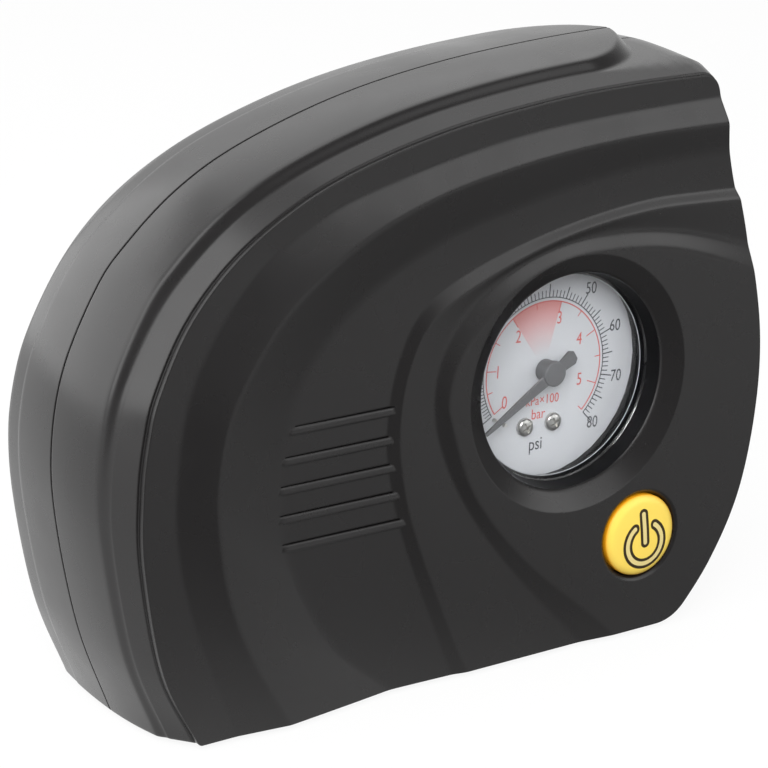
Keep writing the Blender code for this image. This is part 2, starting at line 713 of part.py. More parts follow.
def shell_cavity(name, side, foot, inner):
    """Hollow of one shell half, from past the seam to its inner face."""
    seam = inset(level_loop(RIM_SEAM_LEVEL), WALL)[::2]
    low = inset(level_loop(RIM_FOOT_LEVEL), WALL)[::2]
    end = inset(EDGE_LOOP, WALL)[::2]
    depths = ((seam, -1), (seam, 0.5), (low, foot - 0.6), (end, inner))
    return loft(name, [at_depth(loop, side * depth) for loop, depth in depths])


def louvres(side, face):
    """Slots of the vents, through one wall."""
    slots = []
    for i in range(VENT_COUNT):
        top = VENT_TOP - i * VENT_PITCH
        low = (VENT_LEFT, min(side * face, side * 40), top - VENT_SLOT / 2)
        high = (VENT_RIGHT, max(side * face, side * 40), top + VENT_SLOT / 2)
        slots.append(block("slot", low, high))
    return slots


def front_shell():
    shell = loft("front_shell", rim_loops(-1, BAND_HALF, BAND_HALF, RIM_DEPTH) + [at_depth(EDGE_LOOP, -36)])
    combine(shell, relief_body(), "INTERSECT")
    for i in range(VENT_COUNT):
        top = VENT_TOP - i * VENT_PITCH - VENT_SLOT / 2
        crest = -(max(VALLEY_HEIGHTS[1], INNER_FOOT_HEIGHTS[1]) + VENT_FIN)
        back = -FRONT_INNER - 0.5
        fin = ((back, top), (crest, top - 0.2), (crest, top - 0.7), (crest + 1.6, top - 3.4), (back, top - 3.4))
        join(shell, prism("fin", fin, VENT_LEFT, VENT_RIGHT, "x"))
    hollow = shell_cavity("hollow", -1, BAND_HALF + BAND_RAMP, FRONT_INNER)
    for u, z in CASE_SCREWS:
        cut(hollow, rod("boss", CASE_SCREW_RADIUS + BOSS_WALL, -40, 4, "y", (u, 0, z), 10))
    cut(hollow, rod("tube", GAUGE_OPENING + GAUGE_TUBE_WALL, -40, -GAUGE_SEAT, "y", (0, 0, GAUGE_HEIGHT), 32))
    place = (BUTTON_PLACE[0], 0, BUTTON_PLACE[1])
    cut(hollow, rod("guide", GUIDE_BORE + GUIDE_WALL, -40, GUIDE_END, "y", place, 24))
    cut(shell, hollow)
    slope = GAUGE_FUNNEL / GAUGE_RIM_DEPTH
    funnel = (
        (0, -40),
        (GAUGE_OPENING + slope * (40 + RIM_PLANE), -40),
        (GAUGE_OPENING, RIM_PLANE),
        (GAUGE_OPENING, -GAUGE_SEAT + 3),
        (0, -GAUGE_SEAT + 3),
    )
    cut(shell, turned("funnel", funnel, "y", (0, 0, GAUGE_HEIGHT), 44))
    well = (
        (0, -40),
        (BUTTON_HOLE + BUTTON_CHAMFER + 40 - PLATEAU_HEIGHT, -40),
        (BUTTON_HOLE, -PLATEAU_HEIGHT + BUTTON_CHAMFER),
        (BUTTON_HOLE, -FRONT_INNER),
        (GUIDE_BORE, -FRONT_INNER),
        (GUIDE_BORE, GUIDE_END + 3),
        (0, GUIDE_END + 3),
    )
    cut(shell, turned("well", well, "y", place, 32))
    cut(shell, *louvres(-1, FRONT_INNER - 3))
    for u, z in CASE_SCREWS:
        cut(shell, rod("thread", CASE_SCREW_RADIUS + SHAFT_CLEARANCE, -CASE_SCREW_REACH - 1, 4, "y", (u, 0, z), 10))
    for u in FOOT_PLACES:
        cut(shell, rod("sink", FOOT_RADIUS + SEAT_GAP, -5, FOOT_SINK, "z", (u, -FOOT_ACROSS, 0), 16))
    return dress(shell, BLACK, 28)


def rear_shell():
    loops = rim_loops(1, REAR_BAND_HALF, REAR_BAND_TOP, REAR_RIM_DEPTH) + [at_depth(EDGE_LOOP, REAR_BORDER)]
    loops.append(at_depth(inset(EDGE_LOOP, REAR_PANEL_INSET), REAR_BORDER + 0.01))
    loops.append(at_depth(inset(EDGE_LOOP, REAR_PANEL_INSET + REAR_PANEL_SLOPE), REAR_PANEL))
    shell = loft("rear_shell", loops)
    hollow = shell_cavity("hollow", 1, REAR_BAND_HALF + BAND_RAMP, REAR_INNER)
    for u, z in CASE_SCREWS:
        cut(hollow, rod("boss", CASE_HEAD_RADIUS + BOSS_WALL, -4, 40, "y", (u, 0, z), 12))
    for u, z in FRAME_SCREWS:
        seat = FRAME_HALF + 1 + SEAT_GAP
        cut(hollow, rod("post", FRAME_SCREW_RADIUS + BOSS_WALL, seat, 40, "y", (u, 0, z), 10))
    bay = rounded_box(BAY_LEFT - WALL, BAY_RIGHT + WALL, BAY_BASE - WALL, BAY_TOP + WALL, BAY_CORNER + WALL)
    cut(hollow, prism("bay_wall", bay, BAY_INNER, 40))
    cut(shell, hollow)
    bay = rounded_box(BAY_LEFT, BAY_RIGHT, BAY_BASE, BAY_TOP, BAY_CORNER)
    cut(shell, prism("bay", bay, BAY_FLOOR, 40))
    for (u, z), radius in ((OUTLET_PLACE, OUTLET_RADIUS), (GLAND_PLACE, GLAND_RADIUS)):
        cut(shell, rod("bore", radius + SEAT_GAP, BAY_INNER - 3, 40, "y", (u, 0, z), 16))
    cut(shell, *louvres(1, REAR_INNER - 3))
    for u, z in CASE_SCREWS:
        well = (
            (0, -4),
            (CASE_SCREW_RADIUS + SHAFT_CLEARANCE, -4),
            (CASE_SCREW_RADIUS + SHAFT_CLEARANCE, CASE_SCREW_SEAT),
            (CASE_HEAD_RADIUS + SEAT_GAP, CASE_SCREW_SEAT),
            (CASE_HEAD_RADIUS + SEAT_GAP, 40),
            (0, 40),
        )
        cut(shell, turned("well", well, "y", (u, 0, z), 10))
    for u, z in FRAME_SCREWS:
        depth = REAR_INNER + 0.6
        cut(shell, rod("thread", FRAME_SCREW_RADIUS + SHAFT_CLEARANCE, FRAME_HALF, depth, "y", (u, 0, z), 10))
    for u in FOOT_PLACES:
        cut(shell, rod("sink", FOOT_RADIUS + SEAT_GAP, -5, FOOT_SINK, "z", (u, FOOT_ACROSS, 0), 16))
    return dress(shell, BLACK, 28)


def case_fixings():
    for number, (u, z) in enumerate(CASE_SCREWS, 1):
        seat = CASE_SCREW_SEAT + SEAT_GAP
        profile = (
            (0, -CASE_SCREW_REACH),
            (CASE_SCREW_RADIUS, -CASE_SCREW_REACH + 1.2),
            (CASE_SCREW_RADIUS, seat),
            (CASE_HEAD_RADIUS, seat),
            (CASE_HEAD_RADIUS, seat + CASE_HEAD_HEIGHT * 0.6),
            (CASE_HEAD_RADIUS * 0.7, seat + CASE_HEAD_HEIGHT),
            (0, seat + CASE_HEAD_HEIGHT),
        )
        turned(f"case_screw_{number}", profile, "y", (u, 0, z), 10, STEEL)
    number = 0
    for u in FOOT_PLACES:
        for across in (-FOOT_ACROSS, FOOT_ACROSS):
            number += 1
            profile = (
                (0, -FOOT_PROUD),
                (FOOT_RADIUS - 0.5, -FOOT_PROUD),
                (FOOT_RADIUS, -FOOT_PROUD + 0.5),
                (FOOT_RADIUS, FOOT_SINK - SEAT_GAP),
                (0, FOOT_SINK - SEAT_GAP),
            )
            turned(f"foot_{number}", profile, "z", (u, across, 0), 16, RUBBER)


def gear_outline(teeth, module, phase, backlash, first=0, last=None):
    """Tooth flanks of a spur gear as (along, up) points; angles in degrees. Many teeth have straight flanks."""
    pressure = math.radians(20)
    pitch = teeth * module / 2
    base = pitch * math.cos(pressure)
    tip = pitch + 0.8 * module
    root = pitch - 1.25 * module

    def half(radius):
        lean = math.acos(base / radius) if radius > base else 0
        involute = math.tan(pressure) - pressure - math.tan(lean) + lean
        return math.pi / (2 * teeth) - backlash / (2 * pitch) + involute

    points = []
    rising = (root, tip) if teeth > 40 else (root, pitch, tip)
    flanks = [(radius, -1) for radius in rising] + [(radius, 1) for radius in reversed(rising)]
    for i in range(first, teeth if last is None else last):
        middle = math.radians(phase) + 2 * math.pi * i / teeth
        for radius, sign in flanks:
            turn = middle + sign * half(max(radius, base))
            points.append((radius * math.cos(turn), radius * math.sin(turn)))
    return points


def gauge():
    axis = (0, 0, GAUGE_HEIGHT)
    outer = CASE_INNER + GAUGE_CASE_WALL
    flange = GAUGE_OPENING + GAUGE_TUBE_WALL - 1.2
    bore = STEM_RADIUS + SEAT_GAP
    profile = (
        (CASE_INNER, CASE_FRONT),
        (flange, CASE_FRONT),
        (flange, CASE_FRONT + GAUGE_FLANGE),
        (outer, CASE_FRONT + GAUGE_FLANGE),
        (outer, CASE_BACK),
        (bore, CASE_BACK),
        (bore, CASE_BACK - GAUGE_FLANGE),
        (CASE_INNER, CASE_BACK - GAUGE_FLANGE),
    )
    turned("gauge_case", profile, "y", axis, 32, DARK)
    edge = CASE_INNER - SEAT_GAP
    profile = (
        (0, CASE_FRONT + 0.25),
        (edge - 1.4, CASE_FRONT + 0.25),
        (edge - 0.9, CASE_FRONT),
        (edge, CASE_FRONT + 0.1),
        (edge, CASE_FRONT + 0.1 + LENS_THICKNESS),
        (0, CASE_FRONT + 0.1 + LENS_THICKNESS),
    )
    turned("gauge_lens", profile, "y", axis, 32, CLEAR)
    hole = SPINDLE_RADIUS + 0.6
    dial = ring("gauge_dial", hole, CASE_INNER - SEAT_GAP, DIAL_FACE, DIAL_BACK, "y", axis, 32)
    for u, z in DIAL_SCREWS:
        place = (u, 0, z + GAUGE_HEIGHT)
        cut(dial, rod("hole", DIAL_SCREW_RADIUS + SHAFT_CLEARANCE, DIAL_FACE - 2, DIAL_BACK + 2, "y", place, 8))
    turn = math.radians(STOP_PIN_PLACE[1])
    pin = (STOP_PIN_PLACE[0] * math.cos(turn), 0, STOP_PIN_PLACE[0] * math.sin(turn) + GAUGE_HEIGHT)
    cut(dial, rod("hole", STOP_PIN_RADIUS + SHAFT_CLEARANCE, DIAL_FACE - 2, DIAL_BACK + 2, "y", pin, 8))
    dress(dial, WHITE)
    rod("zero_stop_pin", STOP_PIN_RADIUS, DIAL_FACE - NEEDLE_HUB_HEIGHT, DIAL_BACK, "y", pin, 8, STEEL)
    for number, (u, z) in enumerate(DIAL_SCREWS, 1):
        top = DIAL_FACE - SEAT_GAP - 0.9
        profile = (
            (0, top),
            (DIAL_SCREW_HEAD * 0.7, top),
            (DIAL_SCREW_HEAD, top + 0.45),
            (DIAL_SCREW_HEAD, DIAL_FACE - SEAT_GAP),
            (DIAL_SCREW_RADIUS, DIAL_FACE - SEAT_GAP),
            (DIAL_SCREW_RADIUS, TOP_PLATE + MOVEMENT_PLATE),
            (0, TOP_PLATE + MOVEMENT_PLATE),
        )
        turned(f"dial_screw_{number}", profile, "y", (u, 0, z + GAUGE_HEIGHT), 8, STEEL)


def needle_and_movement():
    axis = (0, 0, GAUGE_HEIGHT)
    front = DIAL_FACE - SEAT_GAP - NEEDLE_HUB_HEIGHT
    hub = rod("needle", NEEDLE_HUB_RADIUS, front, DIAL_FACE - SEAT_GAP, "y", axis, 20)
    turn = math.radians(NEEDLE_ZERO)
    along = Vector((math.cos(turn), math.sin(turn)))
    across = Vector((-math.sin(turn), math.cos(turn)))
    shape = (
        (NEEDLE_LENGTH, NEEDLE_TIP / 2),
        (0, NEEDLE_WIDTH / 2),
        (-NEEDLE_HUB_RADIUS - 0.6, NEEDLE_WIDTH * 0.55),
        (-NEEDLE_TAIL + 0.9, NEEDLE_WIDTH * 0.72),
        (-NEEDLE_TAIL, NEEDLE_WIDTH * 0.2),
    )
    right = [along * a + across * b for a, b in shape]
    left = [along * a - across * b for a, b in reversed(shape)]
    start = front + 0.5
    blade = prism("blade", [(p.x, p.y) for p in right + left], start, start + NEEDLE_THICKNESS, "y", GAUGE_AXIS)
    join(hub, blade)
    blind = rod("blind", SPINDLE_RADIUS + SHAFT_CLEARANCE, front + 1.4, DIAL_FACE + 2, "y", axis, 8)
    cut(hub, blind)
    dress(hub, GREY)
    low, high = LOW_PLATE - MOVEMENT_GAP + SEAT_GAP, LOW_PLATE - SEAT_GAP
    middle = (low + high) / 2
    pinion_teeth, sector_teeth = MOVEMENT_TEETH
    profile = (
        (0, front + 1.6),
        (SPINDLE_RADIUS, front + 1.6),
        (SPINDLE_RADIUS, PLATE_BACK - SEAT_GAP),
        (0, PLATE_BACK - SEAT_GAP),
    )
    spindle = turned("needle_spindle", profile, "y", axis, 8)
    teeth = gear_outline(pinion_teeth, MOVEMENT_MODULE, 180, MOVEMENT_BACKLASH)
    join(spindle, prism("teeth", teeth, middle - 0.8, middle + 0.8, "y", GAUGE_AXIS))
    dress(spindle, BRASS)
    pivot = (SECTOR_PIVOT, GAUGE_HEIGHT)
    pitch = 360 / sector_teeth
    tooth_count = math.ceil((SECTOR_TRAVEL + 14) / pitch)
    first = -math.ceil((SECTOR_TRAVEL + 7) / pitch)
    flanks = gear_outline(sector_teeth, MOVEMENT_MODULE, pitch / 2, MOVEMENT_BACKLASH, first, first + tooth_count)
    reach = SECTOR_THICKNESS / 2
    sector = prism("sector_gear", [(0.0, 0.0)] + flanks, middle - reach, middle + reach, "y", pivot)
    centre = (pivot[0], 0, pivot[1])
    join(sector, rod("hub", 1.6, middle - reach - 0.1, middle + reach + 0.1, "y", centre, 10))
    join(sector, rod("stub", 0.8, TOP_PLATE + 0.2, PLATE_BACK - 0.2, "y", centre, 8))
    sector.location = sector.location + Vector((centre[0], 0, centre[2])) * MM
    sector.data.transform(Matrix.Translation(-Vector((centre[0], 0, centre[2])) * MM))
    dress(sector, BRASS)
    wide = [(GAUGE_AXIS, 6.0), (pivot, 2.8)]
    ears = [((u, z + GAUGE_HEIGHT), DIAL_SCREW_HEAD + 0.9) for u, z in DIAL_SCREWS]
    frame = prism("movement_frame", hull(wide + ears), TOP_PLATE, TOP_PLATE + MOVEMENT_PLATE)
    rear = prism("rear", hull(wide), LOW_PLATE, PLATE_BACK)
    for up in (-3.6, 3.6):
        place = (3.6, 0, GAUGE_HEIGHT + up)
        join(frame, rod("pillar", 1.0, TOP_PLATE + 0.4, PLATE_BACK - 0.4, "y", place, 8))
    join(frame, rear)
    stem = (
        (0, PLATE_BACK - 0.3),
        (STEM_RADIUS + 2, PLATE_BACK - 0.3),
        (STEM_RADIUS + 2, CASE_BACK - GAUGE_FLANGE - SEAT_GAP),
        (STEM_RADIUS, CASE_BACK - GAUGE_FLANGE - SEAT_GAP),
        (STEM_RADIUS, CASE_BACK + 1.6),
        (NIPPLE_RADIUS, CASE_BACK + 1.6),
        (NIPPLE_RADIUS, CASE_BACK + NIPPLE_LENGTH),
        (0, CASE_BACK + NIPPLE_LENGTH),
    )
    join(frame, turned("stem", stem, "y", axis, 16))
    tube_front = PLATE_BACK + 0.8
    tube_back = tube_front + BOURDON_WIDTH
    arm_low = GAUGE_HEIGHT - BOURDON_RADIUS - 2
    join(frame, block("arm", (-3, tube_front, arm_low), (3, tube_back - 0.4, GAUGE_HEIGHT - 1)))
    for place in (axis, centre):
        radius = (SPINDLE_RADIUS if place is axis else 0.8) + SHAFT_CLEARANCE
        cut(frame, rod("bore", radius, TOP_PLATE - 2, PLATE_BACK - 0.15, "y", place, 8))
    for u, z in DIAL_SCREWS:
        place = (u, 0, z + GAUGE_HEIGHT)
        radius = DIAL_SCREW_RADIUS + SHAFT_CLEARANCE
        cut(frame, rod("bore", radius, TOP_PLATE - 2, TOP_PLATE + MOVEMENT_PLATE + 1, "y", place, 8))
    dress(frame, BRASS)
    start = -90 + math.degrees(math.asin((3 + SEAT_GAP) / (BOURDON_RADIUS - BOURDON_THICKNESS)))
    outline = arc(GAUGE_AXIS, BOURDON_RADIUS + BOURDON_THICKNESS / 2, start, 222, 26)
    outline += arc(GAUGE_AXIS, BOURDON_RADIUS - BOURDON_THICKNESS / 2, 222, start, 26)
    prism("bourdon_tube", outline, tube_front, tube_back, "y", (0, 0), BRASS)


def button():
    place = (BUTTON_PLACE[0], 0, BUTTON_PLACE[1])
    dome = [(BUTTON_RADIUS * i / 4, BUTTON_FACE + BUTTON_DOME * (i / 4) ** 2.6) for i in range(5)]
    profile = dome + [
        (BUTTON_RADIUS, FLANGE_FRONT),
        (BUTTON_RADIUS + BUTTON_FLANGE, FLANGE_FRONT),
        (BUTTON_RADIUS + BUTTON_FLANGE, FLANGE_BACK),
        (0, FLANGE_BACK),
    ]
    turned("power_button", profile, "y", place, 32, YELLOW)
    side = PLUNGER_SIDE / 2
    end = SWITCH_FRONT + PLUNGER_REACH
    outline = [(-side, -side), (side, -side), (side, side), (-side, side)]
    prism("switch_plunger", outline, FLANGE_BACK + SEAT_GAP, end, "y", BUTTON_PLACE, NYLON, place)
    half = SWITCH_SIDE / 2
    box = [(-half, -half), (half, -half), (half, half), (-half, half)]
    switch = prism("switch_body", box, SWITCH_FRONT, SWITCH_BACK, "y", BUTTON_PLACE)
    slot = side + SEAT_GAP
    pocket = [(-slot, -slot), (slot, -slot), (slot, slot), (-slot, slot)]
    depth = end + BUTTON_TRAVEL + 0.6
    cut(switch, prism("pocket", pocket, SWITCH_FRONT - 2, depth, "y", BUTTON_PLACE))
    dress(switch, DARK)
    points = []
    for i in range(SPRING_TURNS * 10 + 1):
        turn = 2 * math.pi * i / 10
        reach = FLANGE_BACK + SEAT_GAP + SPRING_WIRE
        reach += (SPRING_LENGTH - 2 * SPRING_WIRE - SEAT_GAP) * i / (SPRING_TURNS * 10)
        u = place[0] + SPRING_RADIUS * math.cos(turn)
        points.append((u, reach, place[2] + SPRING_RADIUS * math.sin(turn)))
    wire("button_spring", points, SPRING_WIRE, STEEL, 1)


def wire(name, points, radius, material, resolution=2):
    """Round tube along points, with closed ends."""
    curve = bpy.data.curves.new(name, "CURVE")
    curve.dimensions = "3D"
    curve.bevel_depth = radius * MM
    curve.bevel_resolution = resolution
    curve.use_fill_caps = True
    spline = curve.splines.new("POLY")
    spline.points.add(len(points) - 1)
    for knot, point in zip(spline.points, points):
        knot.co = (*((Vector(point) + ORIGIN) * MM), 1)
    curve.materials.append(material)
    piece = bpy.data.objects.new(name, curve)
    bpy.context.collection.objects.link(piece)
    return piece


def motor():
    axis = (0, 0, MOTOR_AXIS_HEIGHT)
    bore = MOTOR_SHAFT_RADIUS + SHAFT_CLEARANCE
    inner = MOTOR_RADIUS - MOTOR_WALL
    profile = (
        (bore, MOTOR_FRONT + 1.8),
        (4.2, MOTOR_FRONT + 1.8),
        (4.2, MOTOR_FRONT),
        (MOTOR_RADIUS - 1, MOTOR_FRONT),
        (MOTOR_RADIUS, MOTOR_FRONT - 1),
        (MOTOR_RADIUS, MOTOR_REAR),
        (inner, MOTOR_REAR),
        (inner, MOTOR_FRONT - MOTOR_FACE),
        (bore, MOTOR_FRONT - MOTOR_FACE),
    )
    can = turned("motor_can", profile, "x", axis, 20)
    for across in (-MOTOR_SCREW_SPREAD, MOTOR_SCREW_SPREAD):
        place = (0, across, MOTOR_AXIS_HEIGHT)
        reach = MOTOR_SCREW_RADIUS + SHAFT_CLEARANCE
        cut(can, rod("hole", reach, MOTOR_FRONT - MOTOR_FACE - 1, MOTOR_FRONT + 1, "x", place, 8))
    dress(can, STEEL)
    middle = (MOTOR_FRONT + MOTOR_REAR) / 2
    outer = inner - SEAT_GAP
    half = MAGNET_LENGTH / 2
    ring("motor_magnet", outer - MAGNET_THICKNESS, outer, middle - half, middle + half, "x", axis, 20, FERRITE)
    core = outer - MAGNET_THICKNESS - AIR_GAP
    half = ARMATURE_LENGTH / 2
    ring("armature", bore, core, middle - half, middle + half, "x", axis, 16, COPPER)
    rod("motor_shaft", MOTOR_SHAFT_RADIUS, BELL_REAR - 0.5, GEAR_RIGHT + 0.4, "x", axis, 10, STEEL)
    ring("end_bell", bore, MOTOR_RADIUS - 0.2, BELL_REAR, BELL_FRONT, "x", axis, 20, NYLON)
    teeth = gear_outline(PINION_TEETH, GEAR_MODULE, 90, GEAR_BACKLASH)
    pinion = prism("motor_pinion", teeth, GEAR_LEFT - 0.2, GEAR_RIGHT, "x", (0, MOTOR_AXIS_HEIGHT), None, axis)
    cut(pinion, rod("bore", bore, GEAR_LEFT - 3, GEAR_RIGHT + 3, "x", axis, 10))
    dress(pinion, BRASS)
    for number, across in enumerate((-MOTOR_SCREW_SPREAD, MOTOR_SCREW_SPREAD), 1):
        seat = FRAME_FACE + SEAT_GAP
        profile = (
            (0, MOTOR_FRONT - MOTOR_SCREW_REACH),
            (MOTOR_SCREW_RADIUS, MOTOR_FRONT - MOTOR_SCREW_REACH),
            (MOTOR_SCREW_RADIUS, seat),
            (MOTOR_SCREW_HEAD, seat),
            (MOTOR_SCREW_HEAD, seat + MOTOR_SCREW_HEIGHT),
            (0, seat + MOTOR_SCREW_HEIGHT),
        )
        turned(f"motor_screw_{number}", profile, "x", (0, across, MOTOR_AXIS_HEIGHT), 8, STEEL)


def tie_bolt_places():
    spread = TIE_BOLT_CIRCLE / math.sqrt(2)
    return ((CYLINDER_PLACE - spread, spread), (CYLINDER_PLACE + spread, -spread))


def compressor_frame():
    bottom = FRAME_BASE
    frame = block("frame", (FRAME_LEFT, -FRAME_HALF, bottom), (FRAME_FACE, FRAME_HALF + 1, SHELF_TOP))
    right = CYLINDER_PLACE + TIE_BOLT_CIRCLE / math.sqrt(2) + 4.5
    join(frame, block("shelf", (FRAME_LEFT, -FRAME_HALF, SHELF_BASE), (right, FRAME_HALF + 1, SHELF_TOP)))
    back = FRAME_HALF + 1
    (u, z), (shelf_u, shelf_z) = FRAME_SCREWS
    reach = FRAME_HEAD_RADIUS + 2.6
    ear = block("ear", (FRAME_LEFT + 0.5, back - FRAME_EAR, bottom), (u + reach, back, z + reach))
    upper = block("ear", (shelf_u - reach, back - FRAME_EAR, SHELF_BASE + 0.5), (shelf_u + reach, back, shelf_z + reach))
    join(frame, ear, upper)
    hole = BORE_RADIUS + 0.9
    cut(frame, rod("bore", hole, SHELF_BASE - 2, SHELF_TOP + 2, "z", (CYLINDER_PLACE, 0, 0), 24))
    cut(frame, rod("bore", 4.2 + SEAT_GAP, FRAME_LEFT - 2, FRAME_FACE + 2, "x", (0, 0, MOTOR_AXIS_HEIGHT), 16))
    seat = AXLE_RADIUS + SHAFT_CLEARANCE + BUSH_WALL + SHAFT_CLEARANCE
    cut(frame, rod("bore", seat, FRAME_LEFT - 2, FRAME_FACE + 2, "x", (0, 0, CRANK_HEIGHT), 16))
    for across in (-MOTOR_SCREW_SPREAD, MOTOR_SCREW_SPREAD):
        place = (0, across, MOTOR_AXIS_HEIGHT)
        cut(frame, rod("bore", MOTOR_SCREW_RADIUS + SHAFT_CLEARANCE, FRAME_LEFT - 2, FRAME_FACE + 2, "x", place, 8))
    for u, across in tie_bolt_places():
        cut(frame, rod("bore", TIE_BOLT_RADIUS + SHAFT_CLEARANCE, SHELF_BASE - 2, SHELF_TOP + 2, "z", (u, across, 0), 8))
    for u, z in FRAME_SCREWS:
        cut(frame, rod("bore", FRAME_SCREW_RADIUS + SHAFT_CLEARANCE, back - 6, back + 2, "y", (u, 0, z), 10))
    dress(frame, ALLOY)
    for number, (u, z) in enumerate(FRAME_SCREWS, 1):
        seat = back - FRAME_EAR - SEAT_GAP
        profile = (
            (0, seat - FRAME_HEAD_HEIGHT),
            (FRAME_HEAD_RADIUS, seat - FRAME_HEAD_HEIGHT),
            (FRAME_HEAD_RADIUS, seat),
            (FRAME_SCREW_RADIUS, seat),
            (FRAME_SCREW_RADIUS, REAR_INNER),
            (0, REAR_INNER),
        )
        turned(f"frame_screw_{number}", profile, "y", (u, 0, z), 10, STEEL)


def crank():
    axis = (0, 0, CRANK_HEIGHT)
    outer = AXLE_RADIUS + SHAFT_CLEARANCE + BUSH_WALL
    bore = AXLE_RADIUS + SHAFT_CLEARANCE
    left = FRAME_LEFT - SEAT_GAP * 2
    right = GEAR_LEFT - 0.4
    profile = (
        (bore, left),
        (outer, left),
        (outer, FRAME_FACE + SEAT_GAP),
        (outer + BUSH_FLANGE, FRAME_FACE + SEAT_GAP),
        (outer + BUSH_FLANGE, right),
        (bore, right),
    )
    turned("axle_bush", profile, "x", axis, 16, BRASS)
    clip = left - SEAT_GAP
    ring("axle_clip", bore, bore + CLIP_WIDTH, clip - CLIP_THICKNESS, clip, "x", axis, 16, STEEL, axis)
    rod("gear_axle", AXLE_RADIUS, clip - CLIP_THICKNESS - 1, GEAR_RIGHT - 0.3, "x", axis, 16, STEEL, axis)
    phase = -90 + 180 / GEAR_TEETH
    teeth = gear_outline(GEAR_TEETH, GEAR_MODULE, phase, GEAR_BACKLASH)
    gear = prism("drive_gear", teeth, GEAR_LEFT, GEAR_RIGHT, "x", (0, CRANK_HEIGHT), None, axis)
    cut(gear, rod("bore", bore, GEAR_LEFT - 3, GEAR_RIGHT + 3, "x", axis, 16))
    pin_axis = (0, 0, PIN_HEIGHT)
    pin_bore = CRANK_PIN_RADIUS + SHAFT_CLEARANCE
    cut(gear, rod("bore", pin_bore, GEAR_LEFT - 3, GEAR_RIGHT + 3, "x", pin_axis, 16))
    dress(gear, NYLON)
    shoulder = CRANK_PIN_RADIUS + CRANK_SHOULDER
    profile = (
        (0, GEAR_LEFT + 0.3),
        (CRANK_PIN_RADIUS, GEAR_LEFT + 0.3),
        (CRANK_PIN_RADIUS, GEAR_RIGHT + SEAT_GAP),
        (shoulder, GEAR_RIGHT + SEAT_GAP),
        (shoulder, ROD_LEFT - SEAT_GAP),
        (CRANK_PIN_RADIUS, ROD_LEFT - SEAT_GAP),
        (CRANK_PIN_RADIUS, ROD_RIGHT + SEAT_GAP),
        (shoulder, ROD_RIGHT + SEAT_GAP),
        (shoulder, ROD_RIGHT + SEAT_GAP + 1.5),
        (0, ROD_RIGHT + SEAT_GAP + 1.5),
    )
    turned("crank_pin", profile, "x", pin_axis, 16, STEEL)
    small = (0, SMALL_END_HEIGHT)
    big = (0, PIN_HEIGHT)
    link = prism("connecting_rod", arc(big, ROD_BIG_END, 0, 360, 24)[:-1], ROD_LEFT, ROD_RIGHT, "x", (0, 0), None, pin_axis)
    eye = prism("eye", arc(small, ROD_SMALL_END, 0, 360, 20)[:-1], ROD_LEFT, ROD_RIGHT, "x")
    half = ROD_SHANK / 2
    shank = [(-half - 0.8, big[1]), (half + 0.8, big[1]), (half, small[1]), (-half, small[1])]
    join(link, eye, prism("shank", shank, ROD_LEFT + 1, ROD_RIGHT - 1, "x"))
    cut(link, rod("bore", pin_bore, ROD_LEFT - 3, ROD_RIGHT + 3, "x", pin_axis, 16))
    gudgeon_bore = GUDGEON_RADIUS + SHAFT_CLEARANCE
    small_axis = (0, 0, SMALL_END_HEIGHT)
    cut(link, rod("bore", gudgeon_bore, ROD_LEFT - 3, ROD_RIGHT + 3, "x", small_axis, 16))
    dress(link, ALLOY)
    reach = GUDGEON_LENGTH / 2
    rod("gudgeon_pin", GUDGEON_RADIUS, CYLINDER_PLACE - reach, CYLINDER_PLACE + reach, "x", small_axis, 12, STEEL)


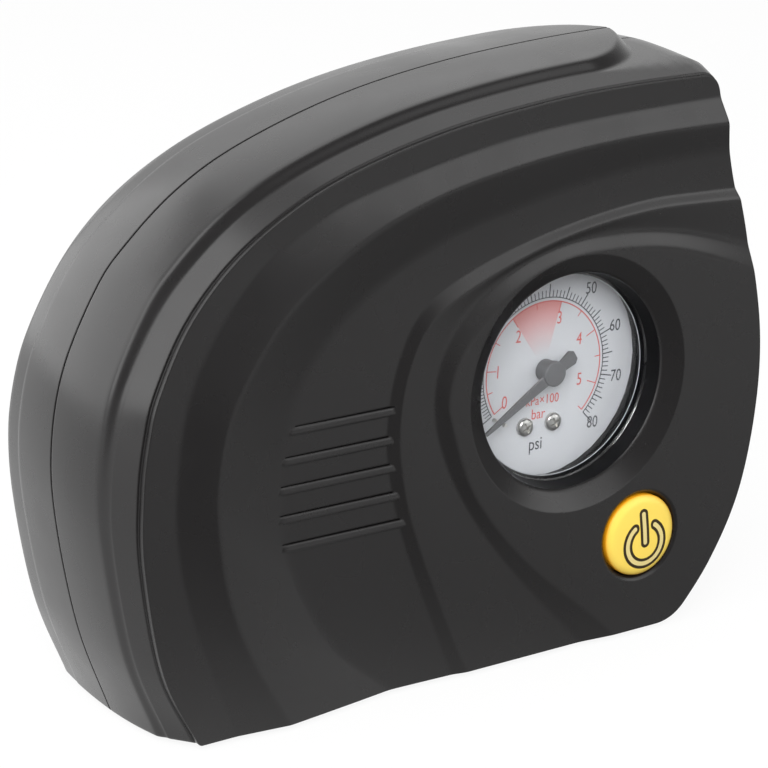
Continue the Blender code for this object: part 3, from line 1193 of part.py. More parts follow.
def cylinder():
    axis = (CYLINDER_PLACE, 0, 0)
    skirt = BORE_RADIUS - PISTON_CLEARANCE
    groove_base = CROWN_UNDER + (CROWN_THICKNESS - RING_HEIGHT) / 2 - SEAT_GAP
    groove_top = groove_base + RING_HEIGHT + 2 * SEAT_GAP
    ring_outer = BORE_RADIUS - RING_CLEARANCE
    groove = ring_outer - RING_WIDTH - SHAFT_CLEARANCE
    profile = (
        (skirt - PISTON_WALL, PISTON_BASE),
        (skirt, PISTON_BASE),
        (skirt, groove_base),
        (groove, groove_base),
        (groove, groove_top),
        (skirt, groove_top),
        (skirt, CROWN_TOP),
        (0, CROWN_TOP),
        (0, CROWN_UNDER),
        (skirt - PISTON_WALL, CROWN_UNDER),
    )
    turned("piston", profile, "z", axis, 24, ALLOY)
    low = groove_base + SEAT_GAP
    ring("piston_ring", ring_outer - RING_WIDTH, ring_outer, low, low + RING_HEIGHT, "z", axis, 24, RUBBER)
    outer = BORE_RADIUS + CYLINDER_WALL
    ring("cylinder", BORE_RADIUS, outer, CYLINDER_BASE, CYLINDER_TOP, "z", axis, 24, ALLOY)
    seat = HEAD_BASE + PORT_LENGTH
    profile = (
        (PORT_RADIUS, HEAD_BASE),
        (HEAD_RADIUS, HEAD_BASE),
        (HEAD_RADIUS, HEAD_FACE),
        (HEAD_BOSS_RADIUS, HEAD_FACE),
        (HEAD_BOSS_RADIUS, BOSS_TOP),
        (CHAMBER_RADIUS, BOSS_TOP),
        (CHAMBER_RADIUS, seat),
        (PORT_RADIUS, seat),
    )
    head = turned("cylinder_head", profile, "z", axis, 24)
    for u, across in tie_bolt_places():
        bore = TIE_BOLT_RADIUS + SHAFT_CLEARANCE
        cut(head, rod("bore", bore, HEAD_BASE - 2, HEAD_FACE + 2, "z", (u, across, 0), 8))
    dress(head, ALLOY)
    for number, (u, across) in enumerate(tie_bolt_places(), 1):
        seat_face = HEAD_FACE + SEAT_GAP
        profile = (
            (0, SHELF_BASE - 0.5),
            (TIE_BOLT_RADIUS, SHELF_BASE - 0.5),
            (TIE_BOLT_RADIUS, seat_face),
            (TIE_HEAD_RADIUS, seat_face),
            (TIE_HEAD_RADIUS, seat_face + TIE_HEAD_HEIGHT),
            (0, seat_face + TIE_HEAD_HEIGHT),
        )
        turned(f"tie_bolt_{number}", profile, "z", (u, across, 0), 8, STEEL)
    valve = seat + SEAT_GAP
    rod("valve_disc", CHAMBER_RADIUS - 0.5, valve, valve + VALVE_THICKNESS, "z", axis, 16, RUBBER)
    profile = (
        (0, BOSS_TOP + SEAT_GAP),
        (HEAD_BOSS_RADIUS - 0.2, BOSS_TOP + SEAT_GAP),
        (HEAD_BOSS_RADIUS - 0.2, BOSS_TOP + SEAT_GAP + 1.6),
        (TEE_RADIUS, BOSS_TOP + SEAT_GAP + 1.6),
        (TEE_RADIUS, BOSS_TOP + SEAT_GAP + TEE_HEIGHT),
        (0, BOSS_TOP + SEAT_GAP + TEE_HEIGHT),
    )
    tee = turned("delivery_tee", profile, "z", axis, 12)
    barb = AIR_TUBE_RADIUS
    middle = (CYLINDER_PLACE, 0, TEE_AXIS)
    join(tee, rod("barb", barb, 0, TEE_REACH, "x", middle, 10), rod("barb", barb, 0, TEE_REACH, "y", middle, 10))
    cut(tee, rod("bore", barb, BOSS_TOP - 2 - TEE_AXIS, 0, "z", middle, 8))
    for side in ("x", "y"):
        cut(tee, rod("bore", barb * 0.5, -0.5, TEE_REACH + 2, side, middle, 8))
    dress(tee, BRASS)


def fittings():
    u, z = OUTLET_PLACE
    elbow = BAY_INNER - SEAT_GAP - 2.0 - OUTLET_RADIUS
    profile = (
        (0, elbow - OUTLET_RADIUS),
        (OUTLET_RADIUS, elbow - OUTLET_RADIUS),
        (OUTLET_RADIUS, BAY_INNER - SEAT_GAP - 2.0),
        (OUTLET_RADIUS + 1.6, BAY_INNER - SEAT_GAP - 2.0),
        (OUTLET_RADIUS + 1.6, BAY_INNER - SEAT_GAP),
        (OUTLET_RADIUS, BAY_INNER - SEAT_GAP),
        (OUTLET_RADIUS, BAY_FLOOR + OUTLET_REACH - 0.8),
        (OUTLET_RADIUS - 0.8, BAY_FLOOR + OUTLET_REACH),
        (0, BAY_FLOOR + OUTLET_REACH),
    )
    place = (u, 0, z)
    outlet = turned("outlet_fitting", profile, "y", place, 16)
    turn = (u, elbow, z)
    join(outlet, rod("barb", AIR_TUBE_RADIUS, 0, OUTLET_RADIUS + OUTLET_BARB, "z", turn, 10))
    cut(outlet, rod("bore", OUTLET_BORE, elbow, 40, "y", place, 10))
    cut(outlet, rod("bore", AIR_TUBE_RADIUS * 0.5, 0, 20, "z", turn, 8))
    dress(outlet, BRASS)
    u, z = GLAND_PLACE
    profile = (
        (GLAND_BORE, BAY_INNER - SEAT_GAP - GLAND_FLANGE),
        (GLAND_RADIUS + GLAND_LIP * 0.8, BAY_INNER - SEAT_GAP - GLAND_FLANGE),
        (GLAND_RADIUS + GLAND_LIP * 0.8, BAY_INNER - SEAT_GAP),
        (GLAND_RADIUS, BAY_INNER - SEAT_GAP),
        (GLAND_RADIUS, BAY_FLOOR + SEAT_GAP),
        (GLAND_RADIUS + GLAND_LIP, BAY_FLOOR + SEAT_GAP),
        (GLAND_RADIUS + GLAND_LIP, BAY_FLOOR + SEAT_GAP + GLAND_COLLAR * 0.6),
        (GLAND_RADIUS + GLAND_LIP / 2, BAY_FLOOR + SEAT_GAP + GLAND_COLLAR),
        (GLAND_BORE, BAY_FLOOR + SEAT_GAP + GLAND_COLLAR),
    )
    turned("cable_gland", profile, "y", (u, 0, z), 16, RUBBER)
    return elbow


def route(path, count):
    """Points along a path whose first and last pieces stay straight."""
    return [path[0]] + spaced(curve_through(path[1:-1]), count) + [path[-1]]


def way(start, end, across, depth, down):
    """Point of a path: shares of the way along u and z, and of the depth of the rear half."""
    u = start[0] + (end[0] - start[0]) * across
    return u, REAR_INNER * depth, start[2] + (end[2] - start[2]) * down


def tube_routes(elbow):
    start = (CYLINDER_PLACE + TEE_REACH + SEAT_GAP, 0, TEE_AXIS)
    end = (0, CASE_BACK + NIPPLE_LENGTH + SEAT_GAP, GAUGE_HEIGHT)
    shares = ((0.517, 0.217, 0.108), (0.886, 0.471, 0.351), (1.028, 0.623, 0.635), (1.017, 0.638, 0.838))
    path = [start, (start[0] + 2 * AIR_TUBE_RADIUS, 0, TEE_AXIS)]
    path += [way(start, end, *share) for share in shares]
    lead_in = AIR_TUBE_RADIUS * 0.8
    path += [(0, end[1] + 2 * AIR_TUBE_RADIUS, end[2] + lead_in / 2), (0, end[1] + lead_in, end[2]), end]
    wire("gauge_tube", route(path, 18), AIR_TUBE_RADIUS, HOSE)
    start = (CYLINDER_PLACE, TEE_REACH + SEAT_GAP, TEE_AXIS)
    barb = OUTLET_RADIUS + OUTLET_BARB
    end = (OUTLET_PLACE[0], elbow, OUTLET_PLACE[1] + barb + SEAT_GAP)
    shares = (
        (0.162, 0.562, 0.004), (0.432, 0.616, 0.116), (0.568, 0.623, 0.304), (0.595, 0.623, 0.591), (0.73, 0.489, 0.766),
    )
    path = [start, (start[0] + SEAT_GAP, start[1] + AIR_TUBE_RADIUS, TEE_AXIS)]
    path += [way(start, end, *share) for share in shares]
    path += [(end[0] - AIR_TUBE_RADIUS / 2, elbow + 2 * SEAT_GAP, end[2] + 3 * AIR_TUBE_RADIUS)]
    path += [(end[0], elbow, end[2] + AIR_TUBE_RADIUS), end]
    wire("outlet_tube", route(path, 24), AIR_TUBE_RADIUS, HOSE)


def lead_routes():
    gland = BAY_INNER - SEAT_GAP * 2 - GLAND_FLANGE
    back = SWITCH_BACK + SEAT_GAP
    straight = LEAD_RADIUS * 1.5
    u, z = GLAND_PLACE
    beside = GLAND_BORE / 2
    terminal = (u + LEAD_RADIUS / 2, BUTTON_PLACE[1] + SWITCH_SIDE * 0.1)
    path = [
        (u - beside, gland, z), (u - beside, gland - straight, z),
        (terminal[0], back + straight, terminal[1]), (terminal[0], back, terminal[1]),
    ]
    wire("power_lead", route(path, 5), LEAD_RADIUS, RED_WIRE)
    floor = WALL + LEAD_RADIUS * 1.5
    bell = BELL_REAR - SEAT_GAP
    high = MOTOR_AXIS_HEIGHT + MOTOR_RADIUS * 0.286

    def along_base(start, side, rise):
        reach = [start[0] + (bell - start[0]) * share for share in (0.435, 0.694, 0.937)]
        path = [(u, side * LEAD_SPREAD, floor) for u in reach]
        out = side * LEAD_SPREAD * 1.2
        path.append((bell + LEAD_RADIUS * 0.9, side * LEAD_SPREAD * 1.12, floor + LEAD_RADIUS / 2))
        path.append((bell - LEAD_RADIUS * 1.6, out, floor + rise * 0.19))
        path.append((bell - LEAD_RADIUS * 2.9, out, floor + rise * 0.46))
        path.append((bell - LEAD_RADIUS * 3.2, out, floor + rise * 0.7))
        path.append((bell - LEAD_RADIUS * 2.4, out, high - LEAD_RADIUS * 0.4))
        return path + [(bell, out, high)]

    rise = high - floor
    start = (BUTTON_PLACE[0] + SWITCH_SIDE * 0.2, back, BUTTON_PLACE[1] - SWITCH_SIDE * 0.133)
    path = [start, (start[0], back + straight * 1.3, start[2])]
    path.append((start[0] - SWITCH_SIDE * 0.28, back - LEAD_RADIUS, floor + (start[2] - floor) * 0.33))
    path.append((start[0] + (bell - start[0]) * 0.158, -LEAD_SPREAD * 0.6, floor + LEAD_RADIUS / 2))
    wire("switched_lead", route(path + along_base(start, -1, rise), 30), LEAD_RADIUS, RED_WIRE)
    start = (u + beside, gland, z)
    path = [start, (start[0], gland - straight, z)]
    path.append((u - beside * 1.6, gland - 1.3 * straight, floor + (z - floor) * 0.48))
    path.append((0, LEAD_SPREAD * 1.2, floor + LEAD_RADIUS / 2))
    wire("return_lead", route(path + along_base(start, 1, rise), 30), LEAD_RADIUS, BLACK_WIRE)


front_shell()
rear_shell()
case_fixings()
gauge()
needle_and_movement()
button()
motor()
compressor_frame()
crank()
cylinder()
tube_routes(fittings())
lead_routes()
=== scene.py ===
"""Looks of the portable tire inflator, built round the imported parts.

Sizes are in millimetres: u runs to the right of the gauge axis, y from the seam to the rear, z up from the
base of the shell. The finished pieces are in metres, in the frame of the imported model.
"""

import json
from math import cos, degrees, hypot, pi, radians, sin, sqrt

import bmesh
import bpy
import numpy as np
from mathutils import Euler, Matrix, Vector


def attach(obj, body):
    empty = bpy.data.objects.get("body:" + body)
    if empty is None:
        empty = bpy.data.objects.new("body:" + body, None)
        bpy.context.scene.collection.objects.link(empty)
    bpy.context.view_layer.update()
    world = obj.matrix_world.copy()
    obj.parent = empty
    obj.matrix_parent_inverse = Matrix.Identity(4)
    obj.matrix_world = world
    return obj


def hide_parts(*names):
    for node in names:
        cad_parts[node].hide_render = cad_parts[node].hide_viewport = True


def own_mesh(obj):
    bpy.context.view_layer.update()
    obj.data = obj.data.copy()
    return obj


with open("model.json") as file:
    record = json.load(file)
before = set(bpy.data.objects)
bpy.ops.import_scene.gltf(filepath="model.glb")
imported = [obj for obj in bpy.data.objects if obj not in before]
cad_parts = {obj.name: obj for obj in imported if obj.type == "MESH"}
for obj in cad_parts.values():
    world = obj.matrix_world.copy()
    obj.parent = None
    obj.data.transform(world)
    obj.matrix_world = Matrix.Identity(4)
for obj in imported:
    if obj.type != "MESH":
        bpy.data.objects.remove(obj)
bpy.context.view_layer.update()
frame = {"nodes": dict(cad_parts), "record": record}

MM = 0.001
ORIGIN = Vector((30.55, -2.6, 1.4))

# Outline of the shell at the seam and at the front edge
SEAM_SIDE = (
    (-100.5, 0), (-107.5, 20.5), (-111.6, 44), (-112, 60), (-108.8, 75.5), (-101, 90.7), (-94.2, 98.6),
    (-82.6, 108), (-68.2, 115.3), (-45.7, 122.2), (-20.9, 126.4), (8, 128.6), (40, 129.2),
)
SEAM_RIGHT = (
    (40, 129.2), (44.4, 104), (48.8, 85), (52, 64), (51.7, 46), (47.7, 27), (40, 11.5), (30.2, 0),
)
EDGE_SIDE = (
    (-93.9, 0), (-101.6, 16.9), (-105.2, 40), (-105, 55), (-103.4, 66), (-100.8, 75), (-93.8, 87.9),
    (-83.6, 98.6), (-70.6, 106.9), (-55.7, 112.9), (-33.1, 118.2), (-8.6, 121.1), (12, 122), (35.8, 121.8),
)
EDGE_RIGHT = (
    (35.8, 121.8), (40, 102), (45.4, 84), (49.2, 64), (48.9, 46), (44.9, 27), (37.2, 12), (27.2, 0),
)
SEAM_CORNERS = (0.8, 13.5, 5)
EDGE_CORNERS = (0.8, 4, 5)
SIDE, RIGHT, BASE, CORNER = 240, 80, 24, 10
SIDE_GRADING = 1.45
MIDDLE = np.array((-30.55, 60.0))
WALL = 2.4
CREASE_ANGLE = 21
FAR = 40
OVERCUT = 1
LEAST_SLOPE = 0.5

# Raised band and rim, with the shares of their depth at which the rows of points lie
SEAM_HALF = 0.28
SEAM_STEP = 0.04
LIP_OUTER, LIP_INNER = 0.8, 1.9
LIP_FRONT, LIP_BACK = -0.27, 0.7
BAND_HALF = 16.0
BAND_RAMP = 2.6
BAND_RISE_START, BAND_RISE_LENGTH = 60, 45
BAND_END_START = 4.0
BAND_END_LENGTH = 21.0
BAND_END_POWER = 1.9
BAND_CROWN = 0.24
BAND_STEP_START, BAND_STEP_LENGTH = 0.7, 0.03
BAND_SHARES = (0, 0.1, 0.25, 0.4, 0.55, 0.66, 0.695, 0.71, 0.72, 0.73, 0.745, 0.78, 0.86, 0.94, 1)
RAMP_STEPS = 8
FOOT_SHARES = (0.04, 0.1, 0.2, 0.34, 0.5, 0.66, 0.8, 0.9, 1)
RIM_SEAM_LEVEL = 0.40
RIM_FOOT_LEVEL = 0.62
LOW_FOOT_LEVEL = 0.47
LOW_FOOT_START, LOW_FOOT_LENGTH = 50, 50
RIM_LEDGE_LEVEL = 0.93
RIM_LEDGE_STEP = 0.02
RIM_POWER = 1.5
RIM_DEPTH = 22.9
FRONT_REACH = 36
REAR_BANDS = (22.4, 19.2)
REAR_STEP = 0.02
REAR_RIM_DEPTH = 28.6
REAR_BORDER = 30.0
REAR_PANEL = 31.6
REAR_EDGE = ((0, 0.8), (0.06, 0.5), (0.24, 0.24), (0.5, 0.06), (0.8, 0), (3.5, 0), (6.6, 0))
PANEL_EDGE = ((7.0, 0.06), (7.5, 0.25), (8.5, 0.8), (9.5, 1.35), (10.0, 1.54), (10.5, 1.6), (14, 1.6))
FRONT_INNER = 20.0
REAR_INNER = 27.6
HOLLOW_STRIDE = 6
HOLLOW_LEAD, HOLLOW_STRAIGHT, HOLLOW_FOOT = 1, 0.5, 0.6
LIP_STRIDE = 4

# Relief of the front: curves from the right end to the base, then their heights at both ends and easing
RELIEF_CURVES = (
    ((62, 136), (8, 135), (-44, 131), (-94, 113), (-114, 92), (-120, 60), (-118, 30), (-106, -14)),
    ((62, 116), (26.6, 116.4), (-15.2, 114.8), (-53.1, 108.2), (-68.4, 102.6), (-80, 95), (-89.3, 83.4),
     (-94.8, 71.7), (-97.4, 56.8), (-97.6, 43.4), (-94.9, 28.7), (-90, 13.7), (-85.3, 0), (-80.5, -14)),
    ((62, 110.5), (25.1, 111.6), (3.8, 111.2), (-16.6, 109.3), (-36.4, 105.7), (-54.4, 99.1),
     (-69.8, 89.1), (-78.7, 79.4), (-85.8, 67.4), (-88.9, 53.2), (-88.6, 41.5), (-86.7, 29.6),
     (-81.9, 16), (-73.2, 0), (-65, -14)),
    ((62, 104.5), (26.9, 105.1), (5.7, 103.7), (-14.7, 100.4), (-34.5, 95.7), (-53.8, 86.4),
     (-66.8, 73.4), (-72.1, 59.5), (-73, 46), (-70.5, 31.2), (-60.7, 12.9), (-46.6, 0), (-30, -14)),
    ((62, 95), (32.7, 96.5), (16.4, 96.7), (-4.6, 94.1), (-24.9, 89.1), (-38.5, 82.4), (-44.9, 71.8),
     (-47.7, 58), (-46.9, 46.5), (-43.5, 32.7), (-35.9, 12.1), (-31.2, 0), (-25.5, -14)),
    ((62, 92.2), (34.2, 94.4), (15.3, 94.7), (-5.6, 91.8), (-25.7, 85.5), (-37.4, 79.3), (-43, 69.7),
     (-45.2, 58), (-44.3, 46), (-40.8, 32.3), (-32.3, 10.2), (-27.8, 0), (-21.5, -14)),
    ((62, 77), (46.4, 82.9), (26.9, 88.9), (8, 91.4), (-10.2, 89.3), (-25.4, 82.8), (-34, 73.4),
     (-36.7, 62.1), (-34.7, 50.9), (-27.5, 36.2), (-15.7, 20.2), (0.6, 1.5), (13, -14)),
    ((62, 69), (47.9, 76.8), (26.2, 85.1), (8, 87.7), (-5.7, 87.2), (-18.4, 81.8), (-29.4, 71.7),
     (-33.3, 62), (-32.2, 54.9), (-26, 38.3), (-12.2, 20.8), (8.5, 2.2), (22, -14)),
)
RELIEF_HEIGHTS = (
    (23.6, 25.0, 0), (23.6, 25.0, 0.9), (25.6, 26.4, 0.9), (24.5, 22.4, 1.6), (23.8, 23.2, 0.6),
    (25.0, 23.9, 0.6), (24.1, 24.0, 1.2), (25.0, 25.0, 0.9),
)
PLATEAU = 25.0
CUT_LEAD = 0.6
PLATEAU_AIM = (10.0, 45.0)
PLATEAU_REACH = 6
RELIEF_REAR = 6.0
RELIEF_STEPS = 260
EASING_STEPS = 6
EASING_LIMIT = 0.45

# Louvres: height of the slot, ends of the slot, ends of the rib below it
LOUVRES = (
    (62.72, -69.6, -46.0, -72.0, -44.6),
    (56.52, -72.0, -47.4, -73.4, -45.0),
    (50.47, -73.1, -47.0, -74.3, -44.9),
    (44.30, -73.4, -46.2, -74.3, -44.3),
    (38.06, -72.8, -44.6, -73.5, -42.9),
)
SLOT_HALF = 0.11
SLOT_FRONT, SLOT_BACK = -30, -17
SLAT_PROFILE = (
    (0.0, 0.0), (-0.02, 0.3), (-0.1, 0.42), (-0.3, 0.48), (-0.8, 0.55), (-1.25, 0.61), (-1.48, 0.6),
    (-1.62, 0.48), (-1.68, 0.3), (-1.7, 0.0),
)
SLAT_MIDDLE = 0.87
SLAT_FACE, SLAT_SLOPE = 22.72, 0.62
SLAT_SUNK = 0.02
SLAT_ROOT, SLAT_ROOT_HALF = -20.6, 0.8
SLAT_STEPS = 33
SLAT_BLUNTNESS = 24
SLAT_END, SLAT_LEAST = 0.25, 0.05
REAR_SLOT_LOW, REAR_SLOT_HIGH, REAR_SLOT_CORNER = 1.6, 0.2, 0.65
REAR_SLOT_START = 24

# Screws and feet
CASE_SCREWS = ((31, 106), (-72, 96), (-96.5, 47), (-38, 11.5), (37, 31))
PILOT_RADIUS, PILOT_DEPTH = 1.65, -13
FRONT_POST_RADIUS, FRONT_POST_END = 3.7, 4
REAR_POST_RADIUS, REAR_POST_END = 5.2, -4
WELL_RADIUS, WELL_SEAT, WELL_MOUTH = 3.3, 10, 3.9
WELL_EASE_START, WELL_EASE_END = -0.5, 0.2
FRAME_POSTS = ((-53, 13), (-34, 72.5))
FRAME_POST_RADIUS, FRAME_POST_FACE = 3.6, 17.3
FEET = (-82.0, 14.0)
FOOT_RADIUS, FOOT_BASE, FOOT_TOP, FOOT_Y = 4.8, -5, 1.0, 13

# Gauge
GAUGE_Z = 59.5
GAUGE_STEPS = 160
GAUGE_WALL = 3.3
GAUGE_WALL_BACK, GAUGE_HOLE_BACK = -18.6, -15.6
OPENING = 23.6
WALL_END = 22.9
RIM_PLANE = -22.5
RIM_EDGE = 0.5
FUNNEL = 28.2
# Margin and start of the wall inside the gauge opening that takes painted shade
WELL_SHADE_MARGIN, WELL_SHADE_START = 0.02, 0.3
CASE_FRONT = -18.3
CASE_BACK = 2.6
CASE_INNER = 24.4
CASE_WALL = 1.2
CASE_FLANGE, CASE_FLANGE_DEPTH = 2.1, 1.6
CASE_STEPS = (
    (0, 0.06), (0.4, 0.1), (0.4, 1.6), (0.34, 1.75), (0.22, 1.8), (0.22, 3.6), (0.1, 3.8), (0, 3.9),
)
STEM_RADIUS = 4.3
LENS_DEPTH = 1.15
LENS_GAP, LENS_SUNK = 0.3, 0.25
LENS_BORDER = ((1.4, 0), (0.9, 0.25), (0, 0.15))
RING_RADIUS = 22.15
RING_DEPTH = 1.1
RING_GAP, RING_LIP = 0.05, 0.12
RING_SUNK, BEAD_SUNK = 1.5, 1.62
BEAD_RADIUS = 0.1
DIAL_FACE = -11.6
NEEDLE_LIFT, NEEDLE_HEIGHT = 0.3, 4.2
NEEDLE_HUB = 2.8
HUB_CAP = ((0.45, 0), (0.2, 0.06), (0.05, 0.22), (0, 0.5), (0, 1.3), (0.08, 1.4), (0.35, 1.5))
HUB_EDGE = 0.1
NEEDLE_ANGLE = 211
NEEDLE_SHAPE = ((20.6, 0.35), (14, 0.72), (2.0, 1.3), (-2.6, 1.3), (-3.4, 1.4), (-5.6, 1.75), (-6.5, 1.0))
NEEDLE_ROWS = ((0.5, 0.1), (0.58, 0.0), (1.02, 0.0), (1.1, 0.1))
DIAL_SCREWS = (("dial_screw_1", -5.0, -12.1), ("dial_screw_2", 2.5, -12.2))
SCREW_RADIUS, SCREW_HEIGHT, SCREW_GAP = 2.05, 0.9, 0.02
SCREW_DOME = ((0.8, 0.02), (1.4, 0.1), (1.8, 0.3), (2.0, 0.6))
CROSS_TURNS = (28, 118)
CROSS_LENGTH, CROSS_HALF, CROSS_DEPTH = 1.25, 0.25, 0.62

# Print of the dial: rings, marks, figures and units, in black for psi and in red for bar
PRINT_LIFT = 0.03
PRINT_DEPTH = 0.028
PRINT_STEP = 0.01
PSI_SCALE = ((0, 10, 80), (-121.0, -95.2, 137.2))
PSI_RING, PSI_RING_WIDTH = 15.9, 0.22
PSI_TEN, PSI_FIVE, PSI_ONE = 18.9, 18.5, 17.5
PSI_BOLD, PSI_FINE = 0.26, 0.21
PSI_RADII = (20.9, 20.9, 20.9, 20.9, 21.3, 20.3, 20.2, 20.2, 19.7)
PSI_SIZE, PSI_NARROW = 3.75, 0.8
PSI_UNIT = ("psi", 4.1, (-1.9, -16.6), 2, 0.82)
BAR_SCALE = ((0, 1, 2, 3, 4, 5, 5.5), (-121.2, -82.5, -33.3, 17.3, 64.0, 111.5, 136.6))
BAR_RING, BAR_RING_WIDTH = 15.1, 0.26
BAR_WHOLE, BAR_PART, BAR_WIDTH = 12.6, 13.7, 0.22
BAR_PLACES = ((-10.3, -5.8), (-12.1, 1.3), (-6.8, 8.3), (4.0, 10.8), (9.4, 5.2), (9.6, -4.0))
BAR_SIZE, BAR_NARROW = 4.0, 0.76
BAR_UNITS = (("kPa×100", 2.95, (-0.2, -6.9), 2, 0.86), ("bar", 3.3, (-1.3, -9.9), 2, 0.86))
FIGURE_LEAN = 4
FIELD_START, FIELD_END = 2, 3
FIELD_INNER, FIELD_OUTER = 3.2, 15.0
FIELD_RINGS, FIELD_SPOKES = 14, 24
FIELD_POWER = 1.1

# Button and its spring
BUTTON = (17.2, 22.0)
BUTTON_FACE = -26.1
BUTTON_RADIUS = 9.2
BUTTON_DOME = 0.5
BUTTON_EDGE, BUTTON_EDGE_START = 0.7, 0.8
BUTTON_WALL, BUTTON_WALL_BACK = 3.4, -13.5
BUTTON_GAP = 0.35
BUTTON_STOP = -20.0
COLLAR, COLLAR_FRONT, COLLAR_BACK = 1.35, -19.7, -18.2
BUTTON_RINGS = 28
BUTTON_LIP = ((0.06, 0.05), (0, 0.35))
WELL_GAP, WELL_BACK = 1.7, -10.5
WELL_EDGE = ((1.5, -CUT_LEAD), (0.9, 0), (0.35, 0.35), (0, 0.9))
SYMBOL_DEPTH = 0.02
SYMBOL_INNER, SYMBOL_OUTER, SYMBOL_FILL = 0.5, 1.18, 0.62
LINES_LIFT, FILL_LIFT = 0.04, 0.025
STROKE_LOW, STROKE_HIGH, STROKE_LEAN, STROKE_SHIFT = -1.53, 5.13, 4.5, 0.62
ARC_RADIUS, ARC_CENTRE = 4.68, (0.7, -1.75)
ARC_START, ARC_END = 126.5, 416.5
SPRING_RADIUS = 5.2
SPRING_WIRE = 0.3
SPRING_TURNS = 3
SPRING_FRONT, SPRING_BACK = -17.6, -14.2

# Rear recess, with the holes of the hose outlet and the cable gland
BAY = (-24.0, 26.0, 8.0, 30.0)
BAY_FLOOR = 14.0
BAY_CORNER = 4
BAY_ROWS = (
    (0, BAY_FLOOR), (0, REAR_PANEL - 0.7), (0.2, REAR_PANEL - 0.2), (0.8, REAR_PANEL + 0.01), (0.8, FAR),
)
BAY_HOLES = ((-8, 4.3), (14, 3.9))
BAY_HOLE_Z, BAY_HOLE_START, BAY_HOLE_END = 19, 8, BAY_FLOOR + 2

# Finishes: scales of the soft marks and of the grain, spread of the gloss, tone of the dial
CLOUD_SCALE = 70
GLOSS_SPREAD = 0.04
GRAIN_DEPTH = 0.00004
DIAL_TONE = (0.50, 0.505, 0.52)

# Plain finishes: colour, roughness, metal, strength of the grain and its scale
PLAIN_FINISHES = {
    "rubber_black": ((0.018, 0.018, 0.018), 0.75, 0.0, 0.35, 1500),
    "steel": ((0.62, 0.61, 0.58), 0.28, 1.0, 0.08, 1800),
    "brass": ((0.66, 0.47, 0.2), 0.3, 1.0, 0.08, 1800),
    "alloy": ((0.52, 0.53, 0.54), 0.45, 1.0, 0.35, 1200),
    "nylon": ((0.72, 0.70, 0.65), 0.5, 0.0, 0.1, 2600),
    "ferrite": ((0.07, 0.07, 0.075), 0.7, 0.0, 0.3, 1200),
    "copper": ((0.58, 0.27, 0.14), 0.35, 1.0, 0.3, 900),
    "wire_red": ((0.45, 0.02, 0.02), 0.5, 0.0, 0.08, 2600),
    "wire_black": ((0.02, 0.02, 0.02), 0.5, 0.0, 0.08, 2600),
    "hose": ((0.03, 0.03, 0.03), 0.6, 0.0, 0.2, 2600),
}

# Stage, in metres; a lamp has its place, target, size, power and whether gloss mirrors it
FLOOR_REACH, FLOOR_CELLS = 6.0, 12
FLOOR_GLOW = 0.9
BEHIND = (-0.5, 0.866, 0)
FLOOR_FADE = (-0.08, 0.05)
WORLD_FADE, WORLD_LEVEL = (-0.4, 0.3), 0.22
LAMPS = (
    ("top_softbox", (0.35, 0.45, 0.9), (0, 0, 0.06), (1.2, 0.9), 2.0, True),
    ("back_left_softbox", (-1.0, 1.3, 0.7), (-0.03, 0, 0.06), (2.4, 1.4), 13.0, True),
    ("front_softbox", (0.85, -1.0, 0.36), (0, 0, 0.07), (1.1, 0.55), 3.1, True),
    ("front_high_softbox", (0.55, -0.83, 0.85), (0, 0, 0.07), (0.9, 0.7), 1.9, True),
    ("left_softbox", (-0.93, -0.24, 0.85), (-0.05, 0, 0.07), (0.95, 1.6), 9.0, True),
    ("camera_fill", (-0.75, -1.1, 0.9), (0, 0, 0.06), (0.9, 0.9), 22.5, False),
)
CAMERA_PLACE = (-0.33640, -0.5062, 0.25621)
CAMERA_TURN, CAMERA_TILT = 33.547, 17.97
CAMERA_LENS, CAMERA_SENSOR, CAMERA_CLIP = 140.6, 36, 0.01


# Meshes
def placed(name, data):
    """New object in the scene."""
    made = bpy.data.objects.new(name, data)
    bpy.context.collection.objects.link(made)
    return made


def finish(name, verts, faces, angle=30):
    """Piece from points in millimetres and faces, smooth except at edges over the angle."""
    points = (np.asarray(verts, float) + np.array(ORIGIN)) * MM
    mesh = bpy.data.meshes.new(name)
    mesh.from_pydata(points.tolist(), [], faces)
    bm = bmesh.new()
    bm.from_mesh(mesh)
    bmesh.ops.remove_doubles(bm, verts=bm.verts[:], dist=1e-7)
    bmesh.ops.recalc_face_normals(bm, faces=bm.faces[:])
    bm.to_mesh(mesh)
    bm.free()
    return smooth(placed(name, mesh), angle)


def smooth(piece, angle=30):
    """Shade a piece smooth except at edges over the angle."""
    piece.data.shade_smooth()
    piece.data.set_sharp_from_angle(angle=radians(angle))
    return piece


def thicken(piece, depth):
    """Close a printed sheet with a back and sides."""
    bm = bmesh.new()
    bm.from_mesh(piece.data)
    made = bmesh.ops.extrude_face_region(bm, geom=bm.faces[:], use_keep_orig=True)
    moved = [item for item in made["geom"] if isinstance(item, bmesh.types.BMVert)]
    bmesh.ops.translate(bm, verts=moved, vec=(0, depth * MM, 0))
    bmesh.ops.recalc_face_normals(bm, faces=bm.faces[:])
    bm.to_mesh(piece.data)
    bm.free()
    return smooth(piece)


def gather(pieces):
    """Several separate bodies as one piece."""
    bm = bmesh.new()
    for piece in pieces:
        bm.from_mesh(piece.data)
    bm.to_mesh(pieces[0].data)
    bm.free()
    for piece in pieces[1:]:
        bpy.data.objects.remove(piece)
    return pieces[0]


